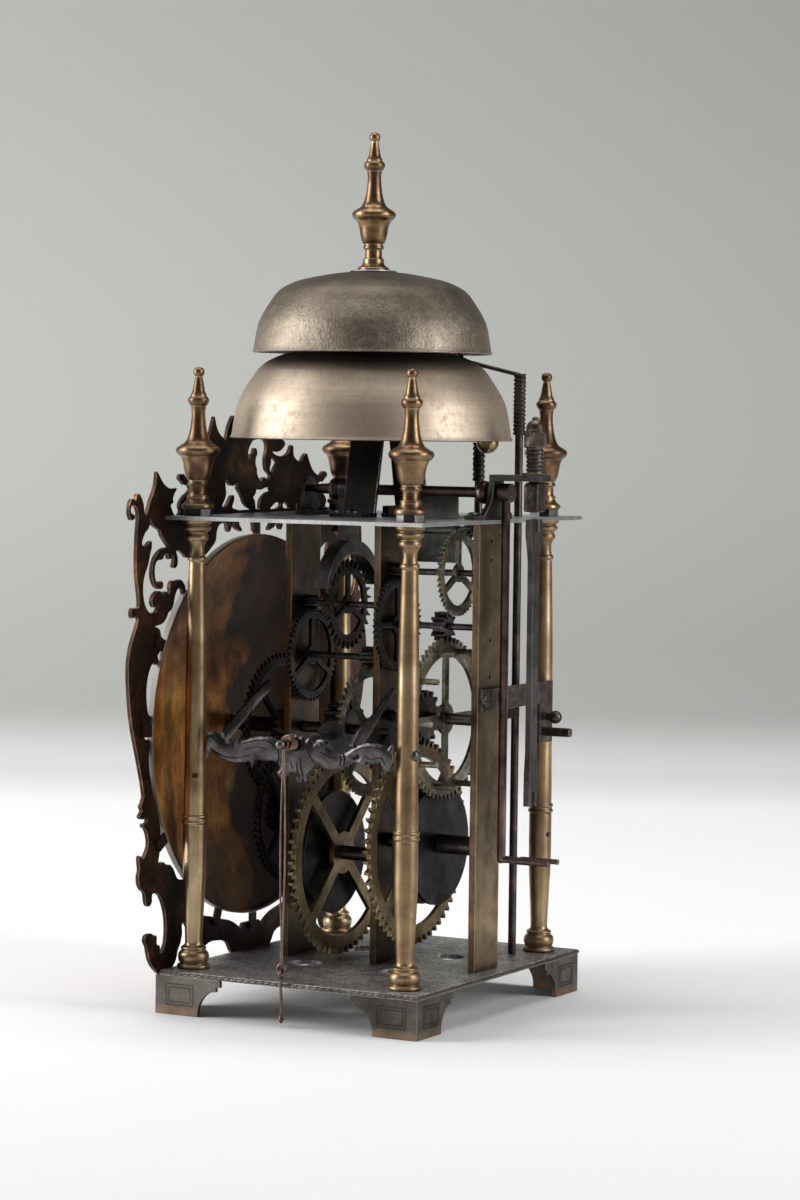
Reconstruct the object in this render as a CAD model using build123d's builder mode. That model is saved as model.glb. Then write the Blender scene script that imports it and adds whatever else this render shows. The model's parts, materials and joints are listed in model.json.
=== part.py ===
"""Lantern clock with two trains side by side, an anchor escapement, two bells and a pierced fret.

Millimetres. Z is up and the dial faces -Y. The origin is on the floor, under the middle of the
clock's whole depth. Every Y in this script is counted from the middle of the four pillars, and
the planes made by level, upright and sideways carry it into the clock's own frame.
"""
import os
from math import acos, asin, atan2, cos, degrees, hypot, pi, radians, sin, sqrt

from build123d import *

os.makedirs("parts", exist_ok=True)

# Frame
pillar_spacing_x = 120.0
pillar_spacing_y = 100.0
pillar_length = 186.0
foot_height = 16.0
foot_sheet = 2.0
foot_wing = 31.0
foot_toe = 20.5
base_thickness = 2.0
base_overhang = 12.7
top_thickness = 1.5
top_overhang = 11.8
front_overhang = 8.4
pillar_screw_radius = 2.4
nut_across = 11.0
nut_height = 3.0
rope_hole_radius = 7.0
rope_hole_shift = 3.5

# Movement bars and fits
bar_thickness = 3.0
front_bar_face = -36.0
middle_bar_face = 6.0
back_bar_face = 52.5
front_bar_width = 24.0
bar_width = 21.0
bar_tongue = 8.0
bar_tongue_rise = 4.5
bar_pin_length = 13.0
bar_pin_radius = 0.8
running = 0.05
end_shake = 0.3
slack = 0.5
screw_radius = 1.2
screw_head_radius = 2.5
screw_head_height = 1.5

# Both trains are drawn for pillars of one length, and grow and shrink with the real ones
drawn_pillar_length = 186.0
train_scale = pillar_length / drawn_pillar_length

# Going train, from the great wheel up to the escape wheel
great_teeth = 60
great_module = 1.4 * train_scale
centre_leaves = 15
great_wheel_thickness = 2.0
centre_teeth = 54
centre_module = 1.0 * train_scale
third_leaves = 8
third_teeth = 48
third_module = 0.8 * train_scale
escape_leaves = 7
wheel_thickness = 1.6
going_great_rise = 44.4 * train_scale
going_great_y = -14.0
centre_wheel_y = -1.6
third_wheel_y = -30.0
escape_wheel_y = -12.5
escape_radius = 19.0 * train_scale
escape_teeth = 30
great_arbor_radius = 3.0
arbor_radius = 1.4
centre_arbor_radius = 2.4
pivot_radius = 0.9
great_pivot_radius = 1.6
pulley_radius = 25.7
pulley_groove = 21.0
pulley_width = 8.5
pulley_gap = 2.0

# Motion work between the front bar and the dial
cannon_leaves = 19
minute_teeth = 57
minute_leaves = 15
hour_teeth = 60
hour_module = 1.0
hand_arbor_radius = 2.0
hour_pipe_radius = 3.2
minute_wheel_y = -40.5
hour_wheel_y = -45.2
post_radius = 1.5

# Striking train, from the great wheel up to the fly
strike_great_rise = 51.4 * train_scale
strike_great_y = 21.6
pin_teeth = 60
pin_module = 1.1 * train_scale
strike_third_leaves = 10
strike_third_teeth = 48
warning_leaves = 8
warning_teeth = 46
fly_module = 0.75 * train_scale
fly_leaves = 7
pin_wheel_y = 34.8
strike_third_y = 11.5
warning_wheel_y = 40.2
strike_pin_count = 10
strike_pin_radius = 1.25
strike_pin_inset = 4.0
strike_pin_length = 8.4
sleeve_radius = 4.0
fly_x = -9.0
fly_y = 25.5
fly_width = 19.0
fly_half_height = 14.0
fly_sheet = 0.8

# Escapement and pendulum
pallet_rise = 11.0
pallet_arbor_radius = 2.2
anchor_width = 6.4
anchor_thickness = 5.4
anchor_stem = 6.0
pallet_clear = 2.7
pallet_tip = 2.4
pallet_tip_angle = 20.5
pallet_pivot_radius = 1.5
cock_thickness = 1.6
front_cock_y = -31.9
back_cock_y = 57.4
back_cock_thickness = 2.2
crutch_y = 62.0
crutch_radius = 1.8
crutch_length = 151.5
crutch_fork_gap = 4.6
fork_radius = 1.1
pendulum_y = 75.0
pendulum_width = 6.8
pendulum_sheet = 2.6
pendulum_length = 118.0
back_reach = 86.0
suspension_radius = 3.2
suspension_rise = 15.0
thread_pitch = 1.25
slit_width = 1.2
spring_sheet = 0.2
spring_width = 4.4
spring_pin_radius = 0.5

# Bells
bell_y = -2.0
strap_width = 15.0
strap_sheet = 1.8
strap_rise = 38.0
strap_x = -8.0
strap_y = 1.0
strap_foot = 23.0
strap_crown = 15.5
strap_toe = 12.0
bell_post_radius = 2.5
strap_bend = 6.0
finial_bore_depth = 10.0
bell_wall = 2.0
lower_bell_radius = 59.5
lower_bell_height = 40.0
lower_bell_rise = 32.0
upper_bell_radius = 50.5
upper_bell_height = 34.0
upper_bell_rise = 68.0

# Dial, fret and hands
dial_radius = 81.4
dial_sheet = 1.2
dial_dome = 9.0
dial_rim_back = 1.1
dial_tab_angles = (90, 27, 153, 2, 178, -31, -149, -70, -110, -90)
tab_sheet = 1.0
tab_width = 5.0
tab_length = 7.0
fret_sheet = 1.6
hand_sheet = 1.2
hour_hand_y = -72.0
minute_hand_y = -75.4
front_reach = 78.0

# Hammers
high_hammer_x = -46.0
high_hammer_y = 44.2
high_hammer_wire = 27.0
low_hammer_x = -49.0
low_hammer_y = 23.5
low_hammer_wire = 15.0
hammer_arbor_radius = 1.7
hammer_pivot_radius = 1.2
ball_gap = 1.0
low_ball_radius = 4.7
high_ball_radius = 2.0
hammer_wire_radius = 0.9

# Lifting lever on the side, with its pull wire
lever_x = 66.2
lever_sheet = 2.5
lever_y = 1.0
lever_z = 115.0
lever_foot_z = 112.0
lever_post_radius = 1.8
wire_radius = 0.6
wire_eye = 1.8
wire_x = 74.4
tail_clearance = 1.4

# Heights and places worked out from the sizes above
frame_y = (front_reach - back_reach) / 2
base_z = foot_height + base_thickness
under_top = base_z + pillar_length
top_z = under_top + top_thickness
half_x = pillar_spacing_x / 2
half_y = pillar_spacing_y / 2
fret_back = -(half_y + front_overhang)
corners = [(side * half_x, end * half_y) for side in (1, -1) for end in (1, -1)]
great_radius = great_teeth * great_module / 2
strike_pin_circle = pin_teeth * pin_module / 2 - strike_pin_inset
going_great_z = base_z + going_great_rise
strike_great_z = base_z + strike_great_rise
great_distance = (great_teeth + centre_leaves) * great_module / 2
centre_z = going_great_z + great_distance
third_z = centre_z + (centre_teeth + third_leaves) * centre_module / 2
escape_z = third_z + (third_teeth + escape_leaves) * third_module / 2
pin_z = strike_great_z + great_distance
strike_third_z = pin_z + (pin_teeth + strike_third_leaves) * pin_module / 2
warning_z = strike_third_z + (strike_third_teeth + warning_leaves) * third_module / 2
fly_distance = (warning_teeth + fly_leaves) * fly_module / 2
fly_z = warning_z + sqrt(fly_distance**2 - fly_x**2)
minute_drop = (hour_teeth + minute_leaves) * hour_module / 2
minute_module = 2 * minute_drop / (cannon_leaves + minute_teeth)
minute_z = centre_z - minute_drop
pallet_z = top_z + pallet_rise
dial_front = fret_back - fret_sheet


def level(z):
    """Horizontal plane at height z, with its middle between the pillars."""
    return Plane(origin=(0, frame_y, z), x_dir=(1, 0, 0), z_dir=(0, 0, 1))


def upright(y, x=0.0, z=0.0):
    """Plane that faces the front, so an extrusion from it grows forward."""
    return Plane(origin=(x, frame_y + y, z), x_dir=(1, 0, 0), z_dir=(0, -1, 0))


def sideways(x, y=0.0, z=0.0):
    """Plane that faces +X, drawn in Y and Z."""
    return Plane(origin=(x, frame_y + y, z), x_dir=(0, 1, 0), z_dir=(1, 0, 0))


def rod_y(x, z, front, back, radius, mode=Mode.ADD):
    """Round rod along Y between two depths."""
    with BuildSketch(upright(back, x, z)) as face:
        Circle(radius)
    extrude(face.sketch, amount=back - front, mode=mode)


def rod_z(x, y, low, high, radius, mode=Mode.ADD):
    """Round rod along Z between two heights."""
    with BuildSketch(level(low)) as face:
        with Locations((x, y)):
            Circle(radius)
    extrude(face.sketch, amount=high - low, mode=mode)


def rod_x(y, z, inner, outer, radius, mode=Mode.ADD):
    """Round rod along X between two places."""
    with BuildSketch(sideways(inner)) as face:
        with Locations((y, z)):
            Circle(radius)
    extrude(face.sketch, amount=outer - inner, mode=mode)


def rod_between(start, end, radius):
    """Round rod from one point to another."""
    line = Vector(*end) - Vector(*start)
    place = Plane(origin=(start[0], frame_y + start[1], start[2]), z_dir=line)
    with BuildSketch(place) as face:
        Circle(radius)
    extrude(face.sketch, amount=line.length)


def ball(x, y, z, radius):
    """Sphere at a point, as a half disc turned about its upright diameter."""
    with BuildSketch(upright(y, x, z)) as face:
        Circle(radius)
        with Locations((-radius, 0)):
            Rectangle(2 * radius, 2 * radius, mode=Mode.SUBTRACT)
    revolve(face.sketch, axis=Axis((x, frame_y + y, z), (0, 0, 1)))


def slab(x_span, y_span, z_span, mode=Mode.ADD):
    """Square block between two places on each axis."""
    with BuildSketch(level(z_span[0])) as face:
        with Locations(((x_span[0] + x_span[1]) / 2, (y_span[0] + y_span[1]) / 2)):
            Rectangle(x_span[1] - x_span[0], y_span[1] - y_span[0])
    extrude(face.sketch, amount=z_span[1] - z_span[0], mode=mode)


def turned(x, y, low, profile):
    """Turned piece on an upright axis; the profile lists radius and height over its foot."""
    with BuildSketch(upright(y, x, low)) as face:
        Polygon((0, profile[0][1]), *profile, (0, profile[-1][1]))
    revolve(face.sketch, axis=Axis((x, frame_y + y, low), (0, 0, 1)))


def ridges(low, high, pitch, core, crest):
    """Profile of a thread or a close coil, as points of radius and height."""
    count = round((high - low) / pitch)
    step = (high - low) / count
    points = []
    for turn in range(count):
        points += [(core, low + turn * step), (crest, low + (turn + 0.5) * step)]
    return points + [(core, high)]


def toothed(count, module, added, cut, tip_share, root_share, turn):
    """Points round a toothed edge with one tooth at the angle turn, in degrees."""
    pitch = 2 * pi / count
    tip = count * module / 2 + added * module
    root = count * module / 2 - cut * module
    corner_list = [(root, -root_share), (tip, -tip_share), (tip, tip_share), (root, root_share)]
    points = []
    for tooth in range(count):
        middle = radians(turn) + tooth * pitch
        for radius, share in corner_list:
            angle = middle + share * pitch
            points.append((radius * cos(angle), radius * sin(angle)))
    return points


def wheel_edge(count, module, turn):
    """Wheel teeth, with room for the pinion's leaves at every phase of the mesh."""
    return toothed(count, module, 0.9, 1.15, 0.12, 0.27, turn)


def pinion_edge(count, module, turn):
    """Pinion leaves with a gap at the angle turn."""
    return toothed(count, module, 0.7, 1.3, 0.12, 0.20, turn + 180 / count)


def wheel(y, x, z, edge, rim, hub, arms, arm_width, bore, thickness, first_arm=90.0):
    """Crossed-out wheel whose middle plane is at y."""
    with BuildSketch(upright(y + thickness / 2, x, z)) as face:
        Polygon(*edge)
        Circle(rim, mode=Mode.SUBTRACT)
        with PolarLocations(rim / 2, arms, start_angle=first_arm):
            Rectangle(rim + 1, arm_width)
        Circle(hub)
        Circle(bore, mode=Mode.SUBTRACT)
    extrude(face.sketch, amount=thickness)


def pinion(x, z, front, back, count, module, turn, bore):
    """Solid pinion round an arbor, between two depths."""
    with BuildSketch(upright(back, x, z)) as face:
        Polygon(*pinion_edge(count, module, turn))
        Circle(bore, mode=Mode.SUBTRACT)
    extrude(face.sketch, amount=back - front)


def pulley(x, z, front, bore):
    """Grooved rope pulley with two cheeks."""
    with BuildSketch(upright(front + pulley_width, x, z)) as face:
        Circle(pulley_radius)
        Circle(bore, mode=Mode.SUBTRACT)
    extrude(face.sketch, amount=pulley_width)
    with BuildSketch(upright(front + pulley_width * 0.8, x, z)) as groove:
        Circle(pulley_radius)
        Circle(pulley_groove, mode=Mode.SUBTRACT)
    extrude(groove.sketch, amount=pulley_width * 0.6, mode=Mode.SUBTRACT)


# Bottom plate: holes for the pillars, bars, ropes and hammer arbors
with BuildPart() as bottom_plate:
    base_back = half_y + base_overhang
    base_side = half_x + base_overhang
    slab((-base_side, base_side), (fret_back, base_back), (foot_height, base_z))
    for pillar_x, pillar_y in corners:
        rod_z(pillar_x, pillar_y, foot_height, base_z, pillar_screw_radius, Mode.SUBTRACT)
    for face_y in (front_bar_face, middle_bar_face, back_bar_face):
        slab((-bar_tongue / 2, bar_tongue / 2), (face_y, face_y + bar_thickness),
             (foot_height, base_z), Mode.SUBTRACT)
    rope_x = (pulley_radius + pulley_groove) / 2
    rope_offset = great_wheel_thickness / 2 + pulley_gap + pulley_width / 2 - rope_hole_shift
    for rope_y in (going_great_y - rope_offset, strike_great_y + rope_offset):
        for side in (1, -1):
            rod_z(side * rope_x, rope_y, foot_height, base_z, rope_hole_radius, Mode.SUBTRACT)
    for hammer_x, hammer_y in ((high_hammer_x, high_hammer_y), (low_hammer_x, low_hammer_y)):
        rod_z(hammer_x, hammer_y, foot_height, base_z, hammer_pivot_radius + running, Mode.SUBTRACT)
bottom_plate.part.label = "bottom_plate"
export_step(bottom_plate.part, "parts/bottom_plate.step")

# Four bracket feet of bent sheet, each wing cut to a stepped cove
cove_step = 2.0
cove_height = foot_height - 2.5 * cove_step
cove_sag = 2.2


def foot_wing_piece(plane, side, amount):
    """One wing, drawn from the bent corner inward and made as thick as the sheet."""
    arc_end = foot_wing - 2 * cove_step
    with BuildSketch(plane) as face:
        with BuildLine():
            Polyline((0, foot_height), (0, 0), (side * foot_toe, 0))
            SagittaArc((side * foot_toe, 0), (side * arc_end, cove_height), side * cove_sag)
            Polyline((side * arc_end, cove_height), (side * (arc_end + cove_step), cove_height),
                     (side * (arc_end + cove_step), cove_height + cove_step),
                     (side * foot_wing, cove_height + cove_step), (side * foot_wing, foot_height),
                     (0, foot_height))
        make_face()
    extrude(face.sketch, amount=amount)


with BuildPart() as bracket_feet:
    for side in (1, -1):
        edge_x = side * (half_x + base_overhang)
        for end, edge_y, front_face in ((1, half_y + base_overhang, 0), (-1, fret_back - foot_sheet, 1)):
            foot_wing_piece(upright(edge_y + front_face * foot_sheet, edge_x), -side, foot_sheet)
            foot_wing_piece(sideways(edge_x, edge_y), -end, -side * foot_sheet)
bracket_feet.part.label = "bracket_feet"
export_step(bracket_feet.part, "parts/bracket_feet.step")

# Four turned pillars, each with a shoulder under the top plate and a screw through it
pillar_ring = pillar_length / 3
pillar_profile = [
    (6.8, 0), (6.8, 1.6), (5.6, 2.2), (6.2, 3.4), (6.4, 5.2), (6.0, 7.0), (5.1, 7.8), (5.3, 8.8),
    (3.3, 9.8), (3.5, 20), (4.7, pillar_ring - 2.2), (4.7, pillar_ring - 1.4),
    (5.4, pillar_ring - 0.8), (4.9, pillar_ring), (5.4, pillar_ring + 0.8),
    (4.6, pillar_ring + 1.5), (4.2, pillar_ring + 25), (3.8, pillar_length - 60),
    (2.9, pillar_length - 17), (3.8, pillar_length - 16), (3.8, pillar_length - 15),
    (2.9, pillar_length - 14), (3.4, pillar_length - 9), (4.5, pillar_length - 7.6),
    (4.5, pillar_length - 6.2), (4.0, pillar_length - 5.4), (5.4, pillar_length - 4.4),
    (5.6, pillar_length - 3), (4.8, pillar_length - 2.2), (6.0, pillar_length - 1.2),
    (6.0, pillar_length),
]
screw_rise = 14.0
with BuildPart() as pillars:
    for pillar_x, pillar_y in corners:
        turned(pillar_x, pillar_y, base_z, pillar_profile)
        rod_z(pillar_x, pillar_y, foot_height, base_z, pillar_screw_radius)
        rod_z(pillar_x, pillar_y, under_top, top_z + screw_rise, pillar_screw_radius)
pillars.part.label = "pillars"
export_step(pillars.part, "parts/pillars.step")

# Eight-sided nuts that hold the top plate down on the pillars
with BuildPart() as pillar_nuts:
    for pillar_x, pillar_y in corners:
        with BuildSketch(level(top_z)) as nut_face:
            with Locations((pillar_x, pillar_y)):
                RegularPolygon(nut_across / 2, 8, major_radius=False)
                Circle(pillar_screw_radius, mode=Mode.SUBTRACT)
        extrude(nut_face.sketch, amount=nut_height)
pillar_nuts.part.label = "pillar_nuts"
export_step(pillar_nuts.part, "parts/pillar_nuts.step")

# One urn finial pattern serves the four pillars and the bell post
finial_profile = [
    (6.4, 0), (6.7, 1.6), (4.6, 3.4), (4.0, 5.2), (3.5, 7.4), (3.5, 9.4), (4.3, 10.2), (4.3, 11.0),
    (3.9, 11.6), (4.9, 12.6), (5.6, 15), (6.2, 19), (7.3, 21.6), (8.0, 22.2), (9.0, 23.6),
    (9.0, 25.0), (7.6, 26.2), (5.4, 27.6), (4.0, 30.5), (3.0, 35), (2.8, 39), (3.3, 42.6),
    (3.5, 43.4), (4.3, 44.2), (4.3, 45.6), (3.4, 46.6), (3.3, 47.6), (2.5, 48.6), (2.0, 51.5),
    (1.5, 54.2), (2.0, 55.1), (2.2, 56.3), (1.9, 57.4), (0.9, 58.2),
]


def finial(x, y, foot_z, bore_depth, bore):
    """Urn finial that screws down over a stud."""
    turned(x, y, foot_z, finial_profile)
    rod_z(x, y, foot_z, foot_z + bore_depth, bore, Mode.SUBTRACT)


with BuildPart() as finials:
    for pillar_x, pillar_y in corners:
        finial(pillar_x, pillar_y, top_z + nut_height, screw_rise - nut_height, pillar_screw_radius)
finials.part.label = "finials"
export_step(finials.part, "parts/finials.step")

# Top plate: slot for the anchor, window for the fly, notch for the crutch
swing_room = anchor_stem / 2 + 1.5
cock_screws = [(5.5, -27.8), (-5.5, -27.8), (10.0, 52.0), (-10.0, 52.0)]
strap_screws = [(strap_x + side * (strap_foot + strap_toe / 2), strap_y) for side in (1, -1)]
with BuildPart() as top_plate:
    slab((-half_x - top_overhang, half_x + top_overhang), (fret_back, half_y + top_overhang),
         (under_top, top_z))
    for pillar_x, pillar_y in corners:
        rod_z(pillar_x, pillar_y, under_top, top_z, pillar_screw_radius, Mode.SUBTRACT)
    for face_y in (front_bar_face, middle_bar_face, back_bar_face):
        slab((-bar_tongue / 2, bar_tongue / 2), (face_y, face_y + bar_thickness),
             (under_top, top_z), Mode.SUBTRACT)
    slab((-swing_room, swing_room),
         (escape_wheel_y - anchor_width / 2 - slack, escape_wheel_y + anchor_width / 2 + slack),
         (under_top, top_z), Mode.SUBTRACT)
    fly_room = fly_half_height + 1.2
    slab((fly_x - fly_room, fly_x + fly_room),
         (fly_y - fly_width / 2 - 1, fly_y + fly_width / 2 + 1), (under_top, top_z), Mode.SUBTRACT)
    slab((-crutch_radius - 2.2, crutch_radius + 2.2),
         (crutch_y - crutch_radius - slack, half_y + top_overhang), (under_top, top_z), Mode.SUBTRACT)
    for hammer_x, hammer_y in ((high_hammer_x, high_hammer_y), (low_hammer_x, low_hammer_y)):
        rod_z(hammer_x, hammer_y, under_top, top_z, hammer_arbor_radius + running, Mode.SUBTRACT)
    for screw_x, screw_y in cock_screws + strap_screws:
        rod_z(screw_x, screw_y, under_top, top_z, screw_radius, Mode.SUBTRACT)
top_plate.part.label = "top_plate"
export_step(top_plate.part, "parts/top_plate.step")


peg_hole_radius = 0.9


def bar(face_y, width, pivots):
    """Upright movement bar with a tongue at each end, its pivot holes and its peg holes."""
    back = face_y + bar_thickness
    slab((-width / 2, width / 2), (face_y, back), (base_z, under_top))
    slab((-bar_tongue / 2, bar_tongue / 2), (face_y, back), (foot_height, base_z))
    slab((-bar_tongue / 2, bar_tongue / 2), (face_y, back), (under_top, top_z + bar_tongue_rise))
    rod_x(face_y + bar_thickness / 2, top_z + bar_pin_radius, -bar_tongue / 2, bar_tongue / 2,
          bar_pin_radius, Mode.SUBTRACT)
    for pivot_x, pivot_z, radius in pivots:
        rod_y(pivot_x, pivot_z, face_y, back, radius, Mode.SUBTRACT)


going_pivots = [(0, going_great_z, great_pivot_radius + running),
                (0, third_z, pivot_radius + running), (0, escape_z, pivot_radius + running)]
strike_pivots = [(0, strike_great_z, great_pivot_radius + running),
                 (0, pin_z, pivot_radius + running), (0, strike_third_z, pivot_radius + running),
                 (0, warning_z, pivot_radius + running), (fly_x, fly_z, pivot_radius + running)]

with BuildPart() as front_bar:
    bar(front_bar_face, front_bar_width,
        going_pivots + [(0, centre_z, hand_arbor_radius + running), (0, minute_z, post_radius)])
front_bar.part.label = "front_bar"
export_step(front_bar.part, "parts/front_bar.step")

lever_screw_x = bar_width / 2 - 2 * screw_radius
with BuildPart() as middle_bar:
    bar(middle_bar_face, bar_width,
        going_pivots + strike_pivots + [(0, centre_z, pivot_radius + running),
                                        (lever_screw_x, lever_foot_z, screw_radius),
                                        (5.0, under_top - 11.0, peg_hole_radius),
                                        (5.0, under_top - 15.5, peg_hole_radius)])
middle_bar.part.label = "middle_bar"
export_step(middle_bar.part, "parts/middle_bar.step")

bridge_z = 131.0
with BuildPart() as back_bar:
    bar(back_bar_face, bar_width,
        strike_pivots + [(side * lever_screw_x, bridge_z, screw_radius) for side in (1, -1)]
        + [(0, under_top - drop, peg_hole_radius) for drop in (7.5, 15.3, 48.5, 63.7)])
back_bar.part.label = "back_bar"
export_step(back_bar.part, "parts/back_bar.step")

# Pins through the bars' upper tongues, lying on the top plate
with BuildPart() as bar_pins:
    for face_y in (front_bar_face, middle_bar_face, back_bar_face):
        rod_x(face_y + bar_thickness / 2, top_z + bar_pin_radius, -bar_pin_length / 2,
              bar_pin_length / 2, bar_pin_radius)
bar_pins.part.label = "bar_pins"
export_step(bar_pins.part, "parts/bar_pins.step")


def great_arbor(z, front, back, pivot_front, pivot_back):
    """Thick arbor with a pivot at each end."""
    rod_y(0, z, front, back, great_arbor_radius)
    rod_y(0, z, pivot_front, front, great_pivot_radius)
    rod_y(0, z, back, pivot_back, great_pivot_radius)


def arbor(x, z, front, back, pivot_front, pivot_back, radius=arbor_radius):
    """Thin arbor with a pivot at each end."""
    rod_y(x, z, front, back, radius)
    rod_y(x, z, pivot_front, front, pivot_radius)
    rod_y(x, z, back, pivot_back, pivot_radius)


front_shoulder = front_bar_face + bar_thickness + end_shake
middle_front_shoulder = middle_bar_face - end_shake
middle_back_shoulder = middle_bar_face + bar_thickness + end_shake
back_shoulder = back_bar_face - end_shake
middle_bar_back = middle_bar_face + bar_thickness
back_bar_back = back_bar_face + bar_thickness


def great_wheel(y, z):
    """Great wheel with four arms."""
    rim = great_radius - 6.5
    wheel(y, 0, z, wheel_edge(great_teeth, great_module, 90), rim, 9.0, 4, 5.0, great_arbor_radius,
          great_wheel_thickness, 45.0)


# Going train
with BuildPart() as going_great_wheel:
    great_wheel(going_great_y, going_great_z)
going_great_wheel.part.label = "going_great_wheel"
export_step(going_great_wheel.part, "parts/going_great_wheel.step")

with BuildPart() as going_great_arbor:
    great_arbor(going_great_z, front_shoulder, middle_front_shoulder, front_bar_face, middle_bar_back)
going_great_arbor.part.label = "going_great_arbor"
export_step(going_great_arbor.part, "parts/going_great_arbor.step")

going_pulley_front = going_great_y - great_wheel_thickness / 2 - pulley_gap - pulley_width
with BuildPart() as going_pulley:
    pulley(0, going_great_z, going_pulley_front, great_arbor_radius + running)
going_pulley.part.label = "going_pulley"
export_step(going_pulley.part, "parts/going_pulley.step")

with BuildPart() as centre_wheel:
    wheel(centre_wheel_y, 0, centre_z, wheel_edge(centre_teeth, centre_module, 90),
          centre_teeth * centre_module / 2 - 4.5, 5.5, 4, 2.6, centre_arbor_radius,
          wheel_thickness, 45.0)
centre_wheel.part.label = "centre_wheel"
export_step(centre_wheel.part, "parts/centre_wheel.step")

pinion_face = 10.0
small_pinion_face = 6.0
with BuildPart() as centre_arbor:
    arbor(0, centre_z, front_shoulder, middle_front_shoulder, front_shoulder - 0.1,
          middle_bar_back, centre_arbor_radius)
    rod_y(0, centre_z, -front_reach, front_shoulder, hand_arbor_radius)
    pinion(0, centre_z, going_great_y - pinion_face / 2, going_great_y + pinion_face / 2,
           centre_leaves, great_module, 270, centre_arbor_radius)
    pinion(0, centre_z, minute_wheel_y - 1.5, minute_wheel_y + 1.5,
           cannon_leaves, minute_module, 270, hand_arbor_radius)
centre_arbor.part.label = "centre_arbor"
export_step(centre_arbor.part, "parts/centre_arbor.step")

with BuildPart() as third_wheel:
    wheel(third_wheel_y, 0, third_z, wheel_edge(third_teeth, third_module, 90),
          third_teeth * third_module / 2 - 3.4, 4.2, 3, 2.2, arbor_radius, wheel_thickness)
third_wheel.part.label = "third_wheel"
export_step(third_wheel.part, "parts/third_wheel.step")

with BuildPart() as third_arbor:
    arbor(0, third_z, front_shoulder, middle_front_shoulder, front_bar_face, middle_bar_back)
    pinion(0, third_z, centre_wheel_y - small_pinion_face / 2, centre_wheel_y + small_pinion_face / 2,
           third_leaves, centre_module, 270, arbor_radius)
third_arbor.part.label = "third_arbor"
export_step(third_arbor.part, "parts/third_arbor.step")


def escape_edge():
    """Long undercut teeth of the escape wheel, leaning the way it turns."""
    pitch = 2 * pi / escape_teeth
    root = escape_radius - 3.2
    points = []
    for tooth in range(escape_teeth):
        for radius, share in ((root, 0.0), (escape_radius, 0.34), (escape_radius, 0.46), (root, 0.5)):
            angle = (tooth + share) * pitch
            points.append((radius * cos(angle), radius * sin(angle)))
    return points


with BuildPart() as escape_wheel:
    wheel(escape_wheel_y, 0, escape_z, escape_edge(), escape_radius - 6.0, 4.0, 3, 2.2,
          arbor_radius, wheel_thickness)
escape_wheel.part.label = "escape_wheel"
export_step(escape_wheel.part, "parts/escape_wheel.step")

with BuildPart() as escape_arbor:
    arbor(0, escape_z, front_shoulder, middle_front_shoulder, front_bar_face, middle_bar_back)
    pinion(0, escape_z, front_shoulder, front_shoulder + small_pinion_face,
           escape_leaves, third_module, 270, arbor_radius)
escape_arbor.part.label = "escape_arbor"
export_step(escape_arbor.part, "parts/escape_arbor.step")

# Motion work
post_end = hour_wheel_y - 3.0
with BuildPart() as minute_post:
    rod_y(0, minute_z, post_end, front_bar_face + bar_thickness, post_radius)
    rod_y(0, minute_z, post_end - 1.0, post_end, post_radius + 1.0)
minute_post.part.label = "minute_post"
export_step(minute_post.part, "parts/minute_post.step")

with BuildPart() as minute_wheel:
    wheel(minute_wheel_y, 0, minute_z, wheel_edge(minute_teeth, minute_module, 90),
          minute_teeth * minute_module / 2 - 4.5, 5.0, 4, 2.6, post_radius + running,
          wheel_thickness, 45.0)
    pinion(0, minute_z, post_end + end_shake, minute_wheel_y - wheel_thickness / 2,
           minute_leaves, hour_module, 90, post_radius + running)
minute_wheel.part.label = "minute_wheel"
export_step(minute_wheel.part, "parts/minute_wheel.step")

with BuildPart() as hour_wheel:
    wheel(hour_wheel_y, 0, centre_z, wheel_edge(hour_teeth, hour_module, 270),
          hour_teeth * hour_module / 2 - 4.5, 6.5, 4, 2.8, hand_arbor_radius + running,
          wheel_thickness, 45.0)
    rod_y(0, centre_z, hour_hand_y - hand_sheet / 2, hour_wheel_y - wheel_thickness / 2,
          hour_pipe_radius)
    rod_y(0, centre_z, hour_hand_y - hand_sheet / 2, hour_wheel_y, hand_arbor_radius + running,
          Mode.SUBTRACT)
hour_wheel.part.label = "hour_wheel"
export_step(hour_wheel.part, "parts/hour_wheel.step")

# Striking train
with BuildPart() as strike_great_wheel:
    great_wheel(strike_great_y, strike_great_z)
strike_great_wheel.part.label = "strike_great_wheel"
export_step(strike_great_wheel.part, "parts/strike_great_wheel.step")

strike_pulley_front = strike_great_y + great_wheel_thickness / 2 + pulley_gap
sleeve_front = strike_pulley_front + pulley_width + end_shake
with BuildPart() as strike_great_arbor:
    great_arbor(strike_great_z, middle_back_shoulder, back_shoulder, middle_bar_face, back_bar_back)
    rod_y(0, strike_great_z, sleeve_front, back_shoulder, sleeve_radius)
strike_great_arbor.part.label = "strike_great_arbor"
export_step(strike_great_arbor.part, "parts/strike_great_arbor.step")

with BuildPart() as strike_pulley:
    pulley(0, strike_great_z, strike_pulley_front, great_arbor_radius + running)
strike_pulley.part.label = "strike_pulley"
export_step(strike_pulley.part, "parts/strike_pulley.step")

with BuildPart() as pin_wheel:
    wheel(pin_wheel_y, 0, pin_z, wheel_edge(pin_teeth, pin_module, 90),
          strike_pin_circle - strike_pin_radius - 1.4, 6.5, 4, 3.4, centre_arbor_radius,
          wheel_thickness)
    with BuildSketch(upright(pin_wheel_y + wheel_thickness / 2 + strike_pin_length, 0, pin_z)) as pins:
        with PolarLocations(strike_pin_circle, strike_pin_count):
            Circle(strike_pin_radius)
    extrude(pins.sketch, amount=strike_pin_length)
pin_wheel.part.label = "pin_wheel"
export_step(pin_wheel.part, "parts/pin_wheel.step")

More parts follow.
